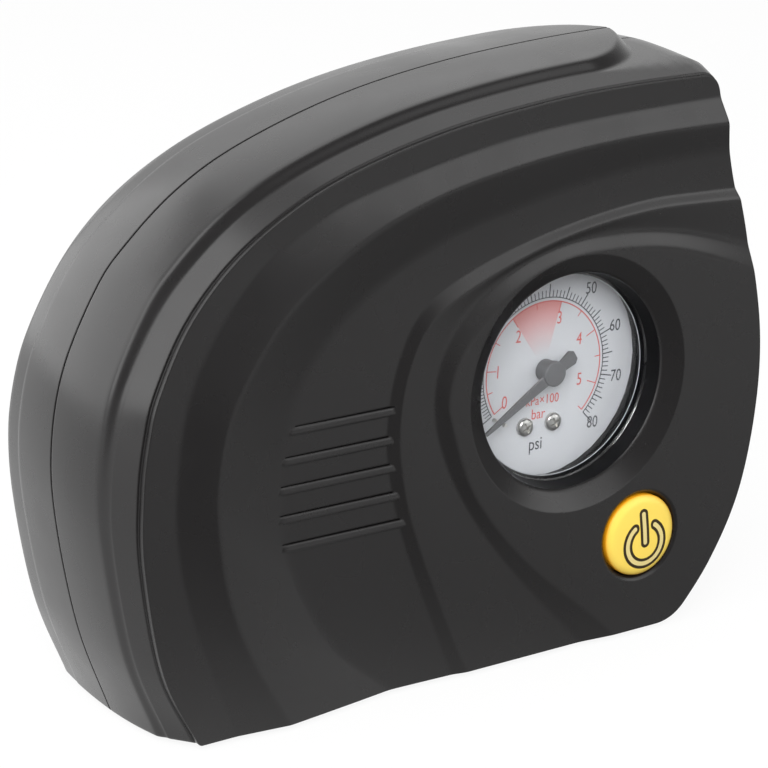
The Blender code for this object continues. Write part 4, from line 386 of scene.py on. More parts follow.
def combine(piece, other, operation="DIFFERENCE"):
    """Cut, join or intersect a piece with another one, which is used up."""
    change = piece.modifiers.new("shape", "BOOLEAN")
    change.operation = operation
    change.solver = "EXACT"
    change.object = other
    bpy.context.view_layer.update()
    graph = bpy.context.evaluated_depsgraph_get()
    mesh = bpy.data.meshes.new_from_object(piece.evaluated_get(graph))
    piece.modifiers.clear()
    piece.data = mesh
    bpy.data.objects.remove(other)
    return piece


def grid(rows, columns, start=0):
    """Faces of a sheet of points that lie in rows."""
    corners = [start + r * columns + i for r in range(rows - 1) for i in range(columns - 1)]
    return [(a, a + 1, a + columns + 1, a + columns) for a in corners]


def loft(name, rows, angle=30):
    """Closed body through outlines of equal point counts."""
    count = len(rows[0])
    faces = []
    for r in range(len(rows) - 1):
        a, b = r * count, (r + 1) * count
        for i in range(count):
            j = (i + 1) % count
            faces.append((a + i, a + j, b + j, b + i))
    faces.append(tuple(range(count)))
    last = (len(rows) - 1) * count
    faces.append(tuple(range(last, last + count)))
    return finish(name, np.vstack(rows), faces, angle)


def turned(name, profile, centre, axis="y", steps=96, angle=30):
    """Body of revolution from (radius, place) points, closed at the axis or round a bore."""
    turns = np.linspace(0, 2 * pi, steps, endpoint=False)
    verts, rings = [], []
    for radius, along in profile:
        ring = []
        for turn in turns if radius > 1e-6 else turns[:1]:
            a, b = radius * cos(turn), radius * sin(turn)
            ring.append(len(verts))
            spot = (a, along, b) if axis == "y" else (a, b, along)
            verts.append(tuple(c + s for c, s in zip(centre, spot)))
        rings.append(ring * steps if len(ring) == 1 else ring)
    faces = []
    bored = profile[0][0] > 1e-6
    pairs = list(zip(rings, rings[1:])) + ([(rings[-1], rings[0])] if bored else [])
    for a, b in pairs:
        for i in range(steps):
            j = (i + 1) % steps
            corners = tuple(dict.fromkeys((a[i], a[j], b[j], b[i])))
            if len(corners) > 2:
                faces.append(corners)
    return finish(name, verts, faces, angle)


def at_depth(loop, y):
    loop = np.asarray(loop)
    return np.column_stack((loop[:, 0], np.full(len(loop), y), loop[:, 1]))


def prism(name, outline, start, end):
    """Extrude an outline of (u, z) points along y."""
    return loft(name, [at_depth(outline, start), at_depth(outline, end)])


def on_gauge(name, profile, steps=GAUGE_STEPS, angle=30):
    """Body of revolution round the axis of the gauge."""
    return turned(name, profile, (0, 0, GAUGE_Z), "y", steps, angle)


def arc(centre, radius, start, end, steps):
    turns = np.radians(np.linspace(start, end, steps + 1))
    return [(centre[0] + radius * cos(a), centre[1] + radius * sin(a)) for a in turns]


def rounded_box(left, right, base, top, corner, steps=8):
    outline = arc((right - corner, base + corner), corner, -90, 0, steps)
    outline += arc((right - corner, top - corner), corner, 0, 90, steps)
    outline += arc((left + corner, top - corner), corner, 90, 180, steps)
    return outline + arc((left + corner, base + corner), corner, 180, 270, steps)


# Shell outlines
def curve_through(points, fine=30):
    """Smooth line through points, in fine steps."""
    points = np.array(points, float)
    ends = np.vstack((2 * points[0] - points[1], points, 2 * points[-1] - points[-2]))
    t = (np.arange(fine) / fine)[:, None]
    line = []
    for before, a, b, after in zip(ends, ends[1:], ends[2:], ends[3:]):
        bend = 2 * before - 5 * a + 4 * b - after
        twist = 3 * (a - b) + after - before
        line.append(a + 0.5 * t * ((b - before) + t * (bend + t * twist)))
    return np.vstack(line + [points[-1:]])


def spaced(line, count, skip_start=0.0, skip_end=0.0, grading=1.0):
    """Points along a line without its ends, closer to its end where the grading is over 1."""
    lengths = np.concatenate(([0], np.cumsum(np.linalg.norm(np.diff(line, axis=0), axis=1))))
    share = 1 - (1 - np.arange(count + 1) / count) ** grading
    reach = skip_start + (lengths[-1] - skip_start - skip_end) * share
    return np.stack([np.interp(reach, lengths, line[:, k]) for k in range(2)], axis=1)


def shell_outline(side_points, right_points, corners):
    """Closed outline from its side and right end, with round corners of the given lengths."""
    low_left, top_right, low_right = corners
    side_line = curve_through(side_points)
    right_line = curve_through(right_points)
    side = spaced(side_line, SIDE, low_left, top_right, SIDE_GRADING)
    right = spaced(right_line, RIGHT, top_right, low_right)
    base = spaced(np.array((right_line[-1], side_line[0])), BASE, low_right, low_left)

    def ease(a, corner, b):
        t = (np.arange(1, CORNER) / CORNER)[:, None]
        return (a + (corner - a) * t) * (1 - t) + (corner + (b - corner) * t) * t

    return np.vstack((
        side, ease(side[-1], side_line[-1], right[0]), right, ease(right[-1], right_line[-1], base[0]),
        base, ease(base[-1], side_line[0], side[0]),
    ))


SEAM_LOOP = shell_outline(SEAM_SIDE, SEAM_RIGHT, SEAM_CORNERS)
EDGE_LOOP = shell_outline(EDGE_SIDE, EDGE_RIGHT, EDGE_CORNERS)


def level_loop(share):
    return SEAM_LOOP + (EDGE_LOOP - SEAM_LOOP) * share


def inset(loop, amount):
    """Move an outline inwards along lines to the middle of the shell."""
    along = np.roll(loop, -1, axis=0) - np.roll(loop, 1, axis=0)
    along /= np.linalg.norm(along, axis=1)[:, None]
    out = np.column_stack((-along[:, 1], along[:, 0]))
    ray = loop - MIDDLE
    ray /= np.linalg.norm(ray, axis=1)[:, None]
    slope = np.maximum(LEAST_SLOPE, np.abs((out * ray).sum(axis=1)))
    return loop - ray * (amount / slope)[:, None]


def rim_rows(side, low_band, top_band, rim, step=0.0):
    """Rows of the rim of one half, from the seam to the ledge round its face."""
    rise = np.clip((SEAM_LOOP[:, 1] - BAND_RISE_START) / BAND_RISE_LENGTH, 0, 1)
    band = low_band + (top_band - low_band) * rise
    along = SEAM_LOOP[:, 0] - BAND_END_START
    left = 1 - np.clip(along / BAND_END_LENGTH, 0, 1) ** BAND_END_POWER
    tongue = (along > 0) & (SEAM_LOOP[:, 1] > BAND_RISE_START)
    half = np.where(tongue, band * left ** (1 / BAND_END_POWER) - BAND_RAMP * (1 - left), band)
    index = np.arange(len(SEAM_LOOP))
    base = SIDE + RIGHT + 2 * CORNER
    strength = np.where(index > SIDE, 0.0, 1.0)
    strength = np.where(index >= base, np.clip((index - base) / BASE, 0, 1), strength)
    foot = np.maximum(half + BAND_RAMP, SEAM_HALF)
    height = np.clip((SEAM_LOOP[:, 1] - LOW_FOOT_START) / LOW_FOOT_LENGTH, 0, 1)
    low = (1 - height) * strength * (side < 0)
    foot_level = RIM_FOOT_LEVEL + (LOW_FOOT_LEVEL - RIM_FOOT_LEVEL) * low
    depths = [SEAM_HALF + np.maximum(half - SEAM_HALF, 0) * f for f in BAND_SHARES]
    depths += [half + BAND_RAMP * k / RAMP_STEPS for k in range(1, RAMP_STEPS + 1)]
    depths += [foot + (rim - foot) * f for f in FOOT_SHARES]
    rows = []
    for k, depth in enumerate(depths):
        depth = np.maximum(depth, SEAM_HALF + SEAM_STEP * k)
        share = np.clip((half + BAND_RAMP - depth) / BAND_RAMP, 0, 1)
        share = share * share * (3 - 2 * share) * strength
        whole = band + BAND_RAMP
        near = RIM_SEAM_LEVEL + (foot_level - RIM_SEAM_LEVEL) * np.minimum(1, depth / whole) ** RIM_POWER
        far = foot_level + (RIM_LEDGE_LEVEL - foot_level) * (depth - whole) / (rim - whole)
        plain = np.where(depth <= whole, near, far)
        beyond = (depth / np.maximum(half, 1) - BAND_STEP_START) / BAND_STEP_LENGTH
        crown = BAND_CROWN * (depth / band) ** 2 + step * np.clip(beyond, 0, 1)
        level = plain + (crown - plain) * share
        place = SEAM_LOOP + (EDGE_LOOP - SEAM_LOOP) * level[:, None]
        rows.append(np.column_stack((place[:, 0], side * depth, place[:, 1])))
    return rows + [at_depth(EDGE_LOOP, side * (rim + RIM_LEDGE_STEP))]


def hollow(side, foot, inner):
    """Space inside one half of the shell."""
    seam = inset(level_loop(RIM_SEAM_LEVEL), WALL)[::HOLLOW_STRIDE]
    low = inset(level_loop(RIM_FOOT_LEVEL), WALL)[::HOLLOW_STRIDE]
    end = inset(EDGE_LOOP, WALL)[::HOLLOW_STRIDE]
    rows = ((seam, -HOLLOW_LEAD), (seam, HOLLOW_STRAIGHT), (low, foot - HOLLOW_FOOT), (end, inner))
    return loft("hollow", [at_depth(loop, side * depth) for loop, depth in rows])


def rod(radius, start, end, centre, axis="y", steps=32):
    return turned("rod", ((0, start), (radius, start), (radius, end), (0, end)), centre, axis, steps)


def relief_body():
    """Solid whose front carries the terraces round the gauge, with eased edges."""
    t = np.arange(RELIEF_STEPS + 1) / RELIEF_STEPS
    lines = []
    for points, (high, low, _) in zip(RELIEF_CURVES, RELIEF_HEIGHTS):
        line = spaced(curve_through(points), RELIEF_STEPS)
        lines.append(np.column_stack((line[:, 0], -(high + (low - high) * t), line[:, 1])))
    towards = np.array(PLATEAU_AIM) - lines[-1][:, (0, 2)]
    towards *= (PLATEAU_REACH / np.linalg.norm(towards, axis=1))[:, None]
    inner = lines[-1].copy()
    inner[:, (0, 2)] += towards
    lines.append(inner)
    rows = [lines[0]]
    for before, line, after, (_, _, easing) in zip(lines, lines[1:], lines[2:], RELIEF_HEIGHTS[1:]):
        back, on = before - line, after - line
        back_length = np.linalg.norm(back, axis=1)[:, None]
        on_length = np.linalg.norm(on, axis=1)[:, None]
        reach = np.minimum(easing, EASING_LIMIT * np.minimum(back_length, on_length))
        a, b = line + back / back_length * reach, line + on / on_length * reach
        rows.append((rows[-1] + a) / 2)
        for k in range(EASING_STEPS + 1):
            s = k / EASING_STEPS
            rows.append((a * (1 - s) + line * s) * (1 - s) + (line * (1 - s) + b * s) * s)
    rows.append(inner)
    count = RELIEF_STEPS + 1
    verts = np.vstack(rows)
    faces = grid(len(rows), count)
    last = (len(rows) - 1) * count
    corner = len(verts)
    verts = np.vstack((verts, (inner[0, 0], -PLATEAU, inner[-1, 2])))
    faces.append(tuple(range(last, last + count)) + (corner,))
    # Border of the front, carried back to a flat rear face
    border = list(range(count))
    border += [r * count + RELIEF_STEPS for r in range(1, len(rows))]
    border.append(corner)
    border += [r * count for r in range(len(rows) - 1, 0, -1)]
    start = len(verts)
    rear = verts[border].copy()
    rear[:, 1] = RELIEF_REAR
    verts = np.vstack((verts, rear))
    size = len(border)
    for i in range(size):
        j = (i + 1) % size
        faces.append((border[i], border[j], start + j, start + i))
    faces.append(tuple(range(start, start + size)))
    return finish("relief", verts, faces)


def ribs():
    """Slats of the louvres, which lean out to a round lower edge."""
    pieces = []
    for slot, _, _, left, right in LOUVRES:
        rows = []
        for step in np.linspace(0, pi, SLAT_STEPS):
            share = (1 - cos(step)) / 2
            ease = sqrt(max(0.0, 1 - (2 * share - 1) ** SLAT_BLUNTNESS))
            wide = SLAT_END + (1 - SLAT_END) * ease
            u = left + (right - left) * share
            face = -(SLAT_FACE + SLAT_SLOPE * share)
            middle = slot - SLOT_HALF - SLAT_MIDDLE
            row = []
            for down, out in SLAT_PROFILE:
                y = face - SLAT_SUNK - out * max(SLAT_LEAST, ease)
                row.append((u, y, middle + (down + SLAT_MIDDLE) * wide))
            row.append((u, SLAT_ROOT, middle - SLAT_ROOT_HALF * wide))
            row.append((u, SLAT_ROOT, middle + SLAT_ROOT_HALF * wide))
            rows.append(np.array(row))
        pieces.append(loft("rib", rows, 40))
    return gather(pieces)


def foot_holes(y):
    return [rod(FOOT_RADIUS, FOOT_BASE, FOOT_TOP, (u, y, 0), "z", 48) for u in FEET]


def front_skin():
    """Front half of the shell: rim, relief, louvres, gauge opening, button well and screw posts."""
    rows = rim_rows(-1, BAND_HALF, BAND_HALF, RIM_DEPTH)
    shell = loft("front_shell_skin", rows + [at_depth(EDGE_LOOP, -FRONT_REACH)])
    combine(shell, relief_body(), "INTERSECT")
    combine(shell, ribs(), "UNION")
    space = hollow(-1, BAND_HALF + BAND_RAMP, FRONT_INNER)
    button = (BUTTON[0], 0, BUTTON[1])
    solids = [rod(FRONT_POST_RADIUS, -FAR, FRONT_POST_END, (u, 0, z)) for u, z in CASE_SCREWS]
    solids.append(rod(CASE_INNER + GAUGE_WALL, -FAR, GAUGE_WALL_BACK, (0, 0, GAUGE_Z), steps=96))
    solids.append(rod(BUTTON_RADIUS + BUTTON_WALL, -FAR, BUTTON_WALL_BACK, button, steps=64))
    combine(space, gather(solids))
    combine(shell, space)
    slope = (FUNNEL - OPENING) / (PLATEAU + RIM_PLANE)
    mouth = -(PLATEAU + CUT_LEAD)
    edge = RIM_EDGE
    funnel = [(0, mouth), (OPENING + slope * (RIM_PLANE - mouth), mouth)]
    funnel += [(OPENING + slope * edge, RIM_PLANE - edge)]
    for k in range(1, EASING_STEPS):
        s = k / EASING_STEPS
        bend = edge * (1 - s) ** 2
        funnel.append((OPENING + slope * bend, RIM_PLANE - bend + edge * s * s))
    funnel += [(OPENING, RIM_PLANE + edge), (WALL_END, GAUGE_WALL_BACK)]
    funnel += [(WALL_END, GAUGE_HOLE_BACK), (0, GAUGE_HOLE_BACK)]
    cuts = [on_gauge("funnel", funnel)]
    hole, wide = BUTTON_RADIUS + BUTTON_GAP, BUTTON_RADIUS + WELL_GAP
    well = [(0, mouth)] + [(hole + out, deep - PLATEAU) for out, deep in WELL_EDGE]
    well += [(hole, BUTTON_STOP), (wide, BUTTON_STOP), (wide, WELL_BACK), (0, WELL_BACK)]
    cuts.append(turned("well", well, button, steps=96))
    for slot, left, right, _, _ in LOUVRES:
        outline = rounded_box(left, right, slot - SLOT_HALF, slot + SLOT_HALF, SLOT_HALF * 0.9, 3)
        cuts.append(prism("slot", outline, SLOT_FRONT, SLOT_BACK))
    cuts += foot_holes(-FOOT_Y)
    for u, z in CASE_SCREWS:
        cuts.append(rod(PILOT_RADIUS, PILOT_DEPTH, FRONT_POST_END, (u, 0, z), steps=20))
    combine(shell, gather(cuts))
    return smooth(shell, CREASE_ANGLE)


def seam_lip():
    """Ring on the rear half that closes the seam behind its groove."""
    loop = level_loop(RIM_SEAM_LEVEL)
    outer = inset(loop, LIP_OUTER)[::LIP_STRIDE]
    inner = inset(loop, LIP_INNER)[::LIP_STRIDE]
    ring = prism("lip", outer, LIP_FRONT, LIP_BACK)
    return combine(ring, prism("lip_space", inner, LIP_FRONT - OVERCUT, LIP_BACK + OVERCUT))


def bay_outline(grow):
    left, right, base, top = BAY
    return rounded_box(left - grow, right + grow, base - grow, top + grow, BAY_CORNER + grow)


def rear_skin():
    """Rear half of the shell: rim, raised panel, recess, louvres and screw wells."""
    rows = rim_rows(1, *REAR_BANDS, REAR_RIM_DEPTH, REAR_STEP)
    for inward, short in REAR_EDGE:
        rows.append(at_depth(inset(EDGE_LOOP, inward), REAR_BORDER - short))
    for inward, lift in PANEL_EDGE:
        rows.append(at_depth(inset(EDGE_LOOP, inward), REAR_BORDER + lift))
    shell = loft("rear_shell_skin", rows)
    space = hollow(1, REAR_BANDS[0] + BAND_RAMP, REAR_INNER)
    solids = [rod(REAR_POST_RADIUS, REAR_POST_END, FAR, (u, 0, z)) for u, z in CASE_SCREWS]
    solids += [rod(FRAME_POST_RADIUS, FRAME_POST_FACE, FAR, (u, 0, z)) for u, z in FRAME_POSTS]
    solids.append(prism("bay_wall", bay_outline(WALL), BAY_FLOOR - WALL, FAR))
    combine(space, gather(solids))
    combine(shell, space)
    combine(shell, seam_lip(), "UNION")
    combine(shell, loft("bay", [at_depth(bay_outline(grow), y) for grow, y in BAY_ROWS]))
    cuts = []
    for u, radius in BAY_HOLES:
        cuts.append(rod(radius, BAY_HOLE_START, BAY_HOLE_END, (u, 0, BAY_HOLE_Z), steps=48))
    for slot, left, right, _, _ in LOUVRES:
        outline = rounded_box(left, right, slot - REAR_SLOT_LOW, slot - REAR_SLOT_HIGH, REAR_SLOT_CORNER, 4)
        cuts.append(prism("slot", outline, REAR_SLOT_START, FAR))
    well = (
        (0, REAR_POST_END), (PILOT_RADIUS, REAR_POST_END), (PILOT_RADIUS, WELL_SEAT),
        (WELL_RADIUS, WELL_SEAT), (WELL_RADIUS, REAR_PANEL + WELL_EASE_START),
        (WELL_MOUTH, REAR_PANEL + WELL_EASE_END), (WELL_MOUTH, FAR), (0, FAR),
    )
    for u, z in CASE_SCREWS:
        cuts.append(turned("well", well, (u, 0, z), steps=48))
    cuts += foot_holes(FOOT_Y)
    combine(shell, gather(cuts))
    return smooth(shell, CREASE_ANGLE)


# Gauge
def around(radius, turn):
    """Point on the dial at an angle clockwise from the top."""
    a = radians(turn)
    return radius * sin(a), radius * cos(a)


def dial_angle(value, scale):
    """Angle of a value on one of the two scales, whose steps aren't even."""
    return float(np.interp(value, *scale))


def strokes(name, lines, y):
    """Thin printed lines, each a list of points with a width."""
    verts, faces = [], []
    for points, width in lines:
        points = [np.array(p, float) for p in points]
        start = len(verts)
        for i, p in enumerate(points):
            along = points[min(i + 1, len(points) - 1)] - points[max(i - 1, 0)]
            across = np.array((-along[1], along[0])) / np.linalg.norm(along) * width / 2
            for side in (1, -1):
                q = p + across * side
                verts.append((q[0], y, GAUGE_Z + q[1]))
        faces += grid(len(points), 2, start)
    return finish(name, verts, faces)


def radial(turn, inner, outer, width):
    return [around(inner, turn), around(outer, turn)], width


def circle_line(radius, scale, width, steps=150):
    start, *_, end = scale[1]
    return [around(radius, turn) for turn in np.linspace(start, end, steps)], width


def words(name, texts, y):
    """Printed figures and units: each text with its size, place, turn and narrowing."""
    bm = bmesh.new()
    for text, size, (u, z), turn, narrow in texts:
        curve = bpy.data.curves.new(name, "FONT")
        curve.body = text
        curve.size = size
        curve.align_x = "CENTER"
        curve.align_y = "CENTER"
        curve.resolution_u = 6
        holder = placed(name, curve)
        bpy.context.view_layer.update()
        graph = bpy.context.evaluated_depsgraph_get()
        mesh = bpy.data.meshes.new_from_object(holder.evaluated_get(graph))
        shape = Matrix.Scale(narrow, 4, (1, 0, 0))
        spin = Matrix.Rotation(radians(-turn), 4, "Z")
        upright = Matrix.Rotation(pi / 2, 4, "X")
        move = Matrix.Translation(ORIGIN + Vector((u, y, GAUGE_Z + z)))
        mesh.transform(Matrix.Scale(MM, 4) @ move @ upright @ spin @ shape)
        bm.from_mesh(mesh)
        bpy.data.objects.remove(holder)
        bpy.data.meshes.remove(mesh)
    mesh = bpy.data.meshes.new(name)
    bm.to_mesh(mesh)
    bm.free()
    return placed(name, mesh)


def red_sector(y):
    """Field between two red figures, with an attribute that fades towards the middle."""
    verts = []
    first, last = (dial_angle(value, BAR_SCALE) for value in (FIELD_START, FIELD_END))
    for r in range(FIELD_RINGS + 1):
        radius = FIELD_INNER + (FIELD_OUTER - FIELD_INNER) * r / FIELD_RINGS
        for s in range(FIELD_SPOKES + 1):
            u, z = around(radius, first + (last - first) * s / FIELD_SPOKES)
            verts.append((u, y, GAUGE_Z + z))
    field = finish("dial_red_field", verts, grid(FIELD_RINGS + 1, FIELD_SPOKES + 1))
    layer = field.data.attributes.new("fade", "FLOAT", "POINT")
    for i, vert in enumerate(field.data.vertices):
        p = vert.co / MM - ORIGIN
        radius = hypot(p.x, p.z - GAUGE_Z)
        layer.data[i].value = max(0.0, (radius - FIELD_INNER) / (FIELD_OUTER - FIELD_INNER)) ** FIELD_POWER
    return field


def dial_print():
    """Black scale, black figures, red scale, red figures and red field."""
    y = DIAL_FACE - PRINT_LIFT
    lines = [circle_line(PSI_RING, PSI_SCALE, PSI_RING_WIDTH)]
    for value in range(PSI_SCALE[0][-1] + 1):
        reach = PSI_TEN if value % 10 == 0 else PSI_FIVE if value % 5 == 0 else PSI_ONE
        width = PSI_BOLD if value % 5 == 0 else PSI_FINE
        lines.append(radial(dial_angle(value, PSI_SCALE), PSI_RING, reach, width))
    black = strokes("dial_scale_black", lines, y)
    texts = []
    for k, radius in enumerate(PSI_RADII):
        place = around(radius, dial_angle(10 * k, PSI_SCALE))
        texts.append((str(10 * k), PSI_SIZE, place, FIGURE_LEAN, PSI_NARROW))
    black_words = words("dial_figures_black", texts + [PSI_UNIT], y)
    lines = [circle_line(BAR_RING, BAR_SCALE, BAR_RING_WIDTH)]
    for half in range(12):
        reach = BAR_WHOLE if half % 2 == 0 else BAR_PART
        lines.append(radial(dial_angle(half / 2, BAR_SCALE), reach, BAR_RING, BAR_WIDTH))
    red = strokes("dial_scale_red", lines, y)
    texts = [(str(v), BAR_SIZE, place, FIGURE_LEAN, BAR_NARROW) for v, place in enumerate(BAR_PLACES)]
    red_words = words("dial_figures_red", texts + list(BAR_UNITS), y - PRINT_STEP)
    return black, black_words, red, red_words, red_sector(y + PRINT_STEP)


def directions(turn):
    """Directions along and across a line at an angle."""
    a = radians(turn)
    return np.array((cos(a), sin(a))), np.array((-sin(a), cos(a)))


def needle_skin():
    """Hub with a rounded cap, blade and pentagon tail."""
    top = DIAL_FACE - NEEDLE_LIFT - NEEDLE_HEIGHT
    base = DIAL_FACE - NEEDLE_LIFT
    profile = [(0, top)] + [(NEEDLE_HUB - inward, top + down) for inward, down in HUB_CAP]
    low = profile[-1][0]
    profile += [(low, base - HUB_EDGE), (low - HUB_EDGE, base), (0, base)]
    hub = on_gauge("needle_skin", profile, 64)
    along, across = directions(NEEDLE_ANGLE)
    outline = [along * a + across * b for a, b in NEEDLE_SHAPE]
    outline += [along * a - across * b for a, b in reversed(NEEDLE_SHAPE)]
    towards = sum(outline) / len(outline) - np.array(outline)
    towards /= np.linalg.norm(towards, axis=1)[:, None]
    rows = []
    for y, narrow in NEEDLE_ROWS:
        rows.append(at_depth(outline + towards * narrow + (0, GAUGE_Z), top + y))
    combine(hub, loft("blade", rows), "UNION")
    return smooth(hub)


def screw_skin(name, u, z):
    """Pan head with a cross recess."""
    top = DIAL_FACE - NEEDLE_LIFT - SCREW_HEIGHT
    base = DIAL_FACE - SCREW_GAP
    profile = [(0, top)] + [(radius, top + down) for radius, down in SCREW_DOME]
    profile += [(SCREW_RADIUS, base), (0, base)]
    head = turned(name, profile, (u, 0, z + GAUGE_Z), steps=48)
    for turn in CROSS_TURNS:
        along, across = directions(turn)
        along, across = along * CROSS_LENGTH, across * CROSS_HALF
        outline = np.array((-along - across, along - across, along + across, across - along))
        combine(head, prism("cross", outline + (u, GAUGE_Z + z), top - OVERCUT, top + CROSS_DEPTH))
    return smooth(head)


def lens_skin():
    """Flat window with a low raised border."""
    edge, face = CASE_INNER - LENS_GAP, CASE_FRONT + LENS_SUNK
    back = face + LENS_DEPTH
    profile = [(0, face)] + [(edge - inward, face - ahead) for inward, ahead in LENS_BORDER]
    return on_gauge("gauge_lens_skin", profile + [(edge, back), (0, back)], angle=10)


def lens_ring():
    """Dark ring that holds the window from behind."""
    face = CASE_FRONT + RING_SUNK
    back = face + RING_DEPTH
    outer, inner = CASE_INNER - RING_GAP, RING_RADIUS + RING_LIP
    profile = [(inner, face), (outer, face), (outer, back), (inner, back)]
    return on_gauge("gauge_lens_ring", profile)


def lens_edge():
    """Polished bead on the inner edge of the ring, which carries a light grey painted highlight line."""
    face = CASE_FRONT + BEAD_SUNK
    turns = np.linspace(0, 2 * pi, 12, endpoint=False)
    profile = [(RING_RADIUS + BEAD_RADIUS * cos(a), face - BEAD_RADIUS * sin(a)) for a in turns]
    return on_gauge("gauge_lens_bead_painted_highlight", profile)


def case_skin():
    """Cup of the gauge, with fine steps on its inner wall in front of the dial."""
    inner = CASE_INNER
    outer, flange = inner + CASE_WALL, inner + CASE_FLANGE
    shoulder, bottom = CASE_FRONT + CASE_FLANGE_DEPTH, CASE_BACK - CASE_FLANGE_DEPTH
    profile = [
        (inner, CASE_FRONT), (flange, CASE_FRONT), (flange, shoulder), (outer, shoulder),
        (outer, CASE_BACK), (STEM_RADIUS, CASE_BACK), (STEM_RADIUS, bottom), (inner, bottom),
    ]
    profile += [(inner - narrow, DIAL_FACE - ahead) for narrow, ahead in CASE_STEPS]
    return on_gauge("gauge_case_skin", profile)


# Button
def button_height(radius):
    """Face of the button: a low dome that falls away in a round edge."""
    share = radius / BUTTON_RADIUS
    edge = max(0.0, share - BUTTON_EDGE_START) ** 2 / (1 - BUTTON_EDGE_START) ** 2
    return BUTTON_FACE + BUTTON_DOME * share ** 2 + BUTTON_EDGE * edge


def button_skin():
    r = BUTTON_RADIUS
    flange = r + COLLAR
    radii = [r * k / BUTTON_RINGS for k in range(BUTTON_RINGS)]
    profile = [(radius, button_height(radius)) for radius in radii]
    low = button_height(r)
    profile += [(r - inward, low + down) for inward, down in BUTTON_LIP]
    profile += [(r, COLLAR_FRONT), (flange, COLLAR_FRONT), (flange, COLLAR_BACK), (0, COLLAR_BACK)]
    return turned("power_button_skin", profile, (BUTTON[0], 0, BUTTON[1]), steps=128, angle=35)


def round_ends(steps, low, high, reach):
    """Places along a stroke with round ends, and their share of its width."""
    places = [(place, 1.0) for place in np.linspace(low, high, steps)]
    for turn in np.radians(np.linspace(10, 90, 9)):
        places.append((high + reach * sin(turn), cos(turn)))
        places.insert(0, (low - reach * sin(turn), cos(turn)))
    return places


def symbol_sides(kind, half):
    """The two long sides of the bar or the open ring of the power symbol."""
    sides = ([], [])
    if kind == "bar":
        lean = radians(STROKE_LEAN)
        for z, wide in round_ends(25, STROKE_LOW, STROKE_HIGH, half):
            for side, sign in zip(sides, (-1, 1)):
                x = sign * half * wide
                u = STROKE_SHIFT + x * cos(lean) - z * sin(lean)
                side.append((u, x * sin(lean) + z * cos(lean)))
        return sides
    for turn, wide in round_ends(91, ARC_START, ARC_END, degrees(half / ARC_RADIUS)):
        a = radians(turn)
        for side, sign in zip(sides, (-1, 1)):
            r = ARC_RADIUS + sign * half * wide
            side.append((ARC_CENTRE[0] + r * cos(a), ARC_CENTRE[1] + r * sin(a)))
    return sides


def on_dome(points, lift):
    return [(BUTTON[0] + x, button_height(hypot(x, z)) - lift, BUTTON[1] + z) for x, z in points]


def symbol_lines():
    """Dark outlines of the symbol."""
    verts, faces = [], []
    for kind in ("bar", "ring"):
        loops = []
        for half in (SYMBOL_INNER, SYMBOL_OUTER):
            first, second = symbol_sides(kind, half)
            loops.append(first + second[::-1])
        start, count = len(verts), len(loops[0])
        verts += on_dome(loops[0], LINES_LIFT) + on_dome(loops[1], LINES_LIFT)
        for i in range(count):
            j = (i + 1) % count
            faces.append((start + i, start + j, start + count + j, start + count + i))
    return finish("button_symbol_lines", verts, faces)


def symbol_fill():
    """Paler inside of the symbol."""
    verts, faces = [], []
    for kind in ("bar", "ring"):
        first, second = symbol_sides(kind, SYMBOL_FILL)
        middle = [((a[0] + b[0]) / 2, (a[1] + b[1]) / 2) for a, b in zip(first, second)]
        start, count = len(verts), len(first)
        for line in (first, middle, second):
            verts += on_dome(line, FILL_LIFT)
        faces += grid(3, count, start)
    return finish("button_symbol_fill", verts, faces)


def spring_skin():
    """Coil that pushes the button back."""
    rows = []
    for turn in np.linspace(0, 2 * pi * SPRING_TURNS, 36 * SPRING_TURNS + 1):
        middle = SPRING_FRONT + (SPRING_BACK - SPRING_FRONT) * turn / (2 * pi * SPRING_TURNS)
        ring = []
        for a in np.linspace(0, 2 * pi, 10, endpoint=False):
            out = SPRING_RADIUS + SPRING_WIRE * cos(a)
            y = middle + SPRING_WIRE * sin(a)
            ring.append((BUTTON[0] + out * cos(turn), y, BUTTON[1] + out * sin(turn)))
        rows.append(np.array(ring))
    return loft("button_spring_skin", rows, 50)


# Materials
def wire(source, output, target, into):
    """Link two shader nodes by the names of their sockets."""
    source.id_data.links.new(source.outputs[output], target.inputs[into])


def put(node, values):
    """Set plain values on the sockets of a shader node."""
    for name, value in values.items():
        node.inputs[name].default_value = value


def tone_mix(made, first, second, factor):
    """Base colour that goes from one tone to another; a tone may also be a socket."""
    nodes, links = made.node_tree.nodes, made.node_tree.links
    mix = nodes.new("ShaderNodeMix")
    mix.data_type = "RGBA"
    for socket, tone in ((mix.inputs[6], first), (mix.inputs[7], second)):
        if isinstance(tone, bpy.types.NodeSocket):
            links.new(tone, socket)
        else:
            socket.default_value = (*tone, 1)
    links.new(factor, mix.inputs[0])
    wire(mix, 2, nodes["Principled BSDF"], "Base Color")


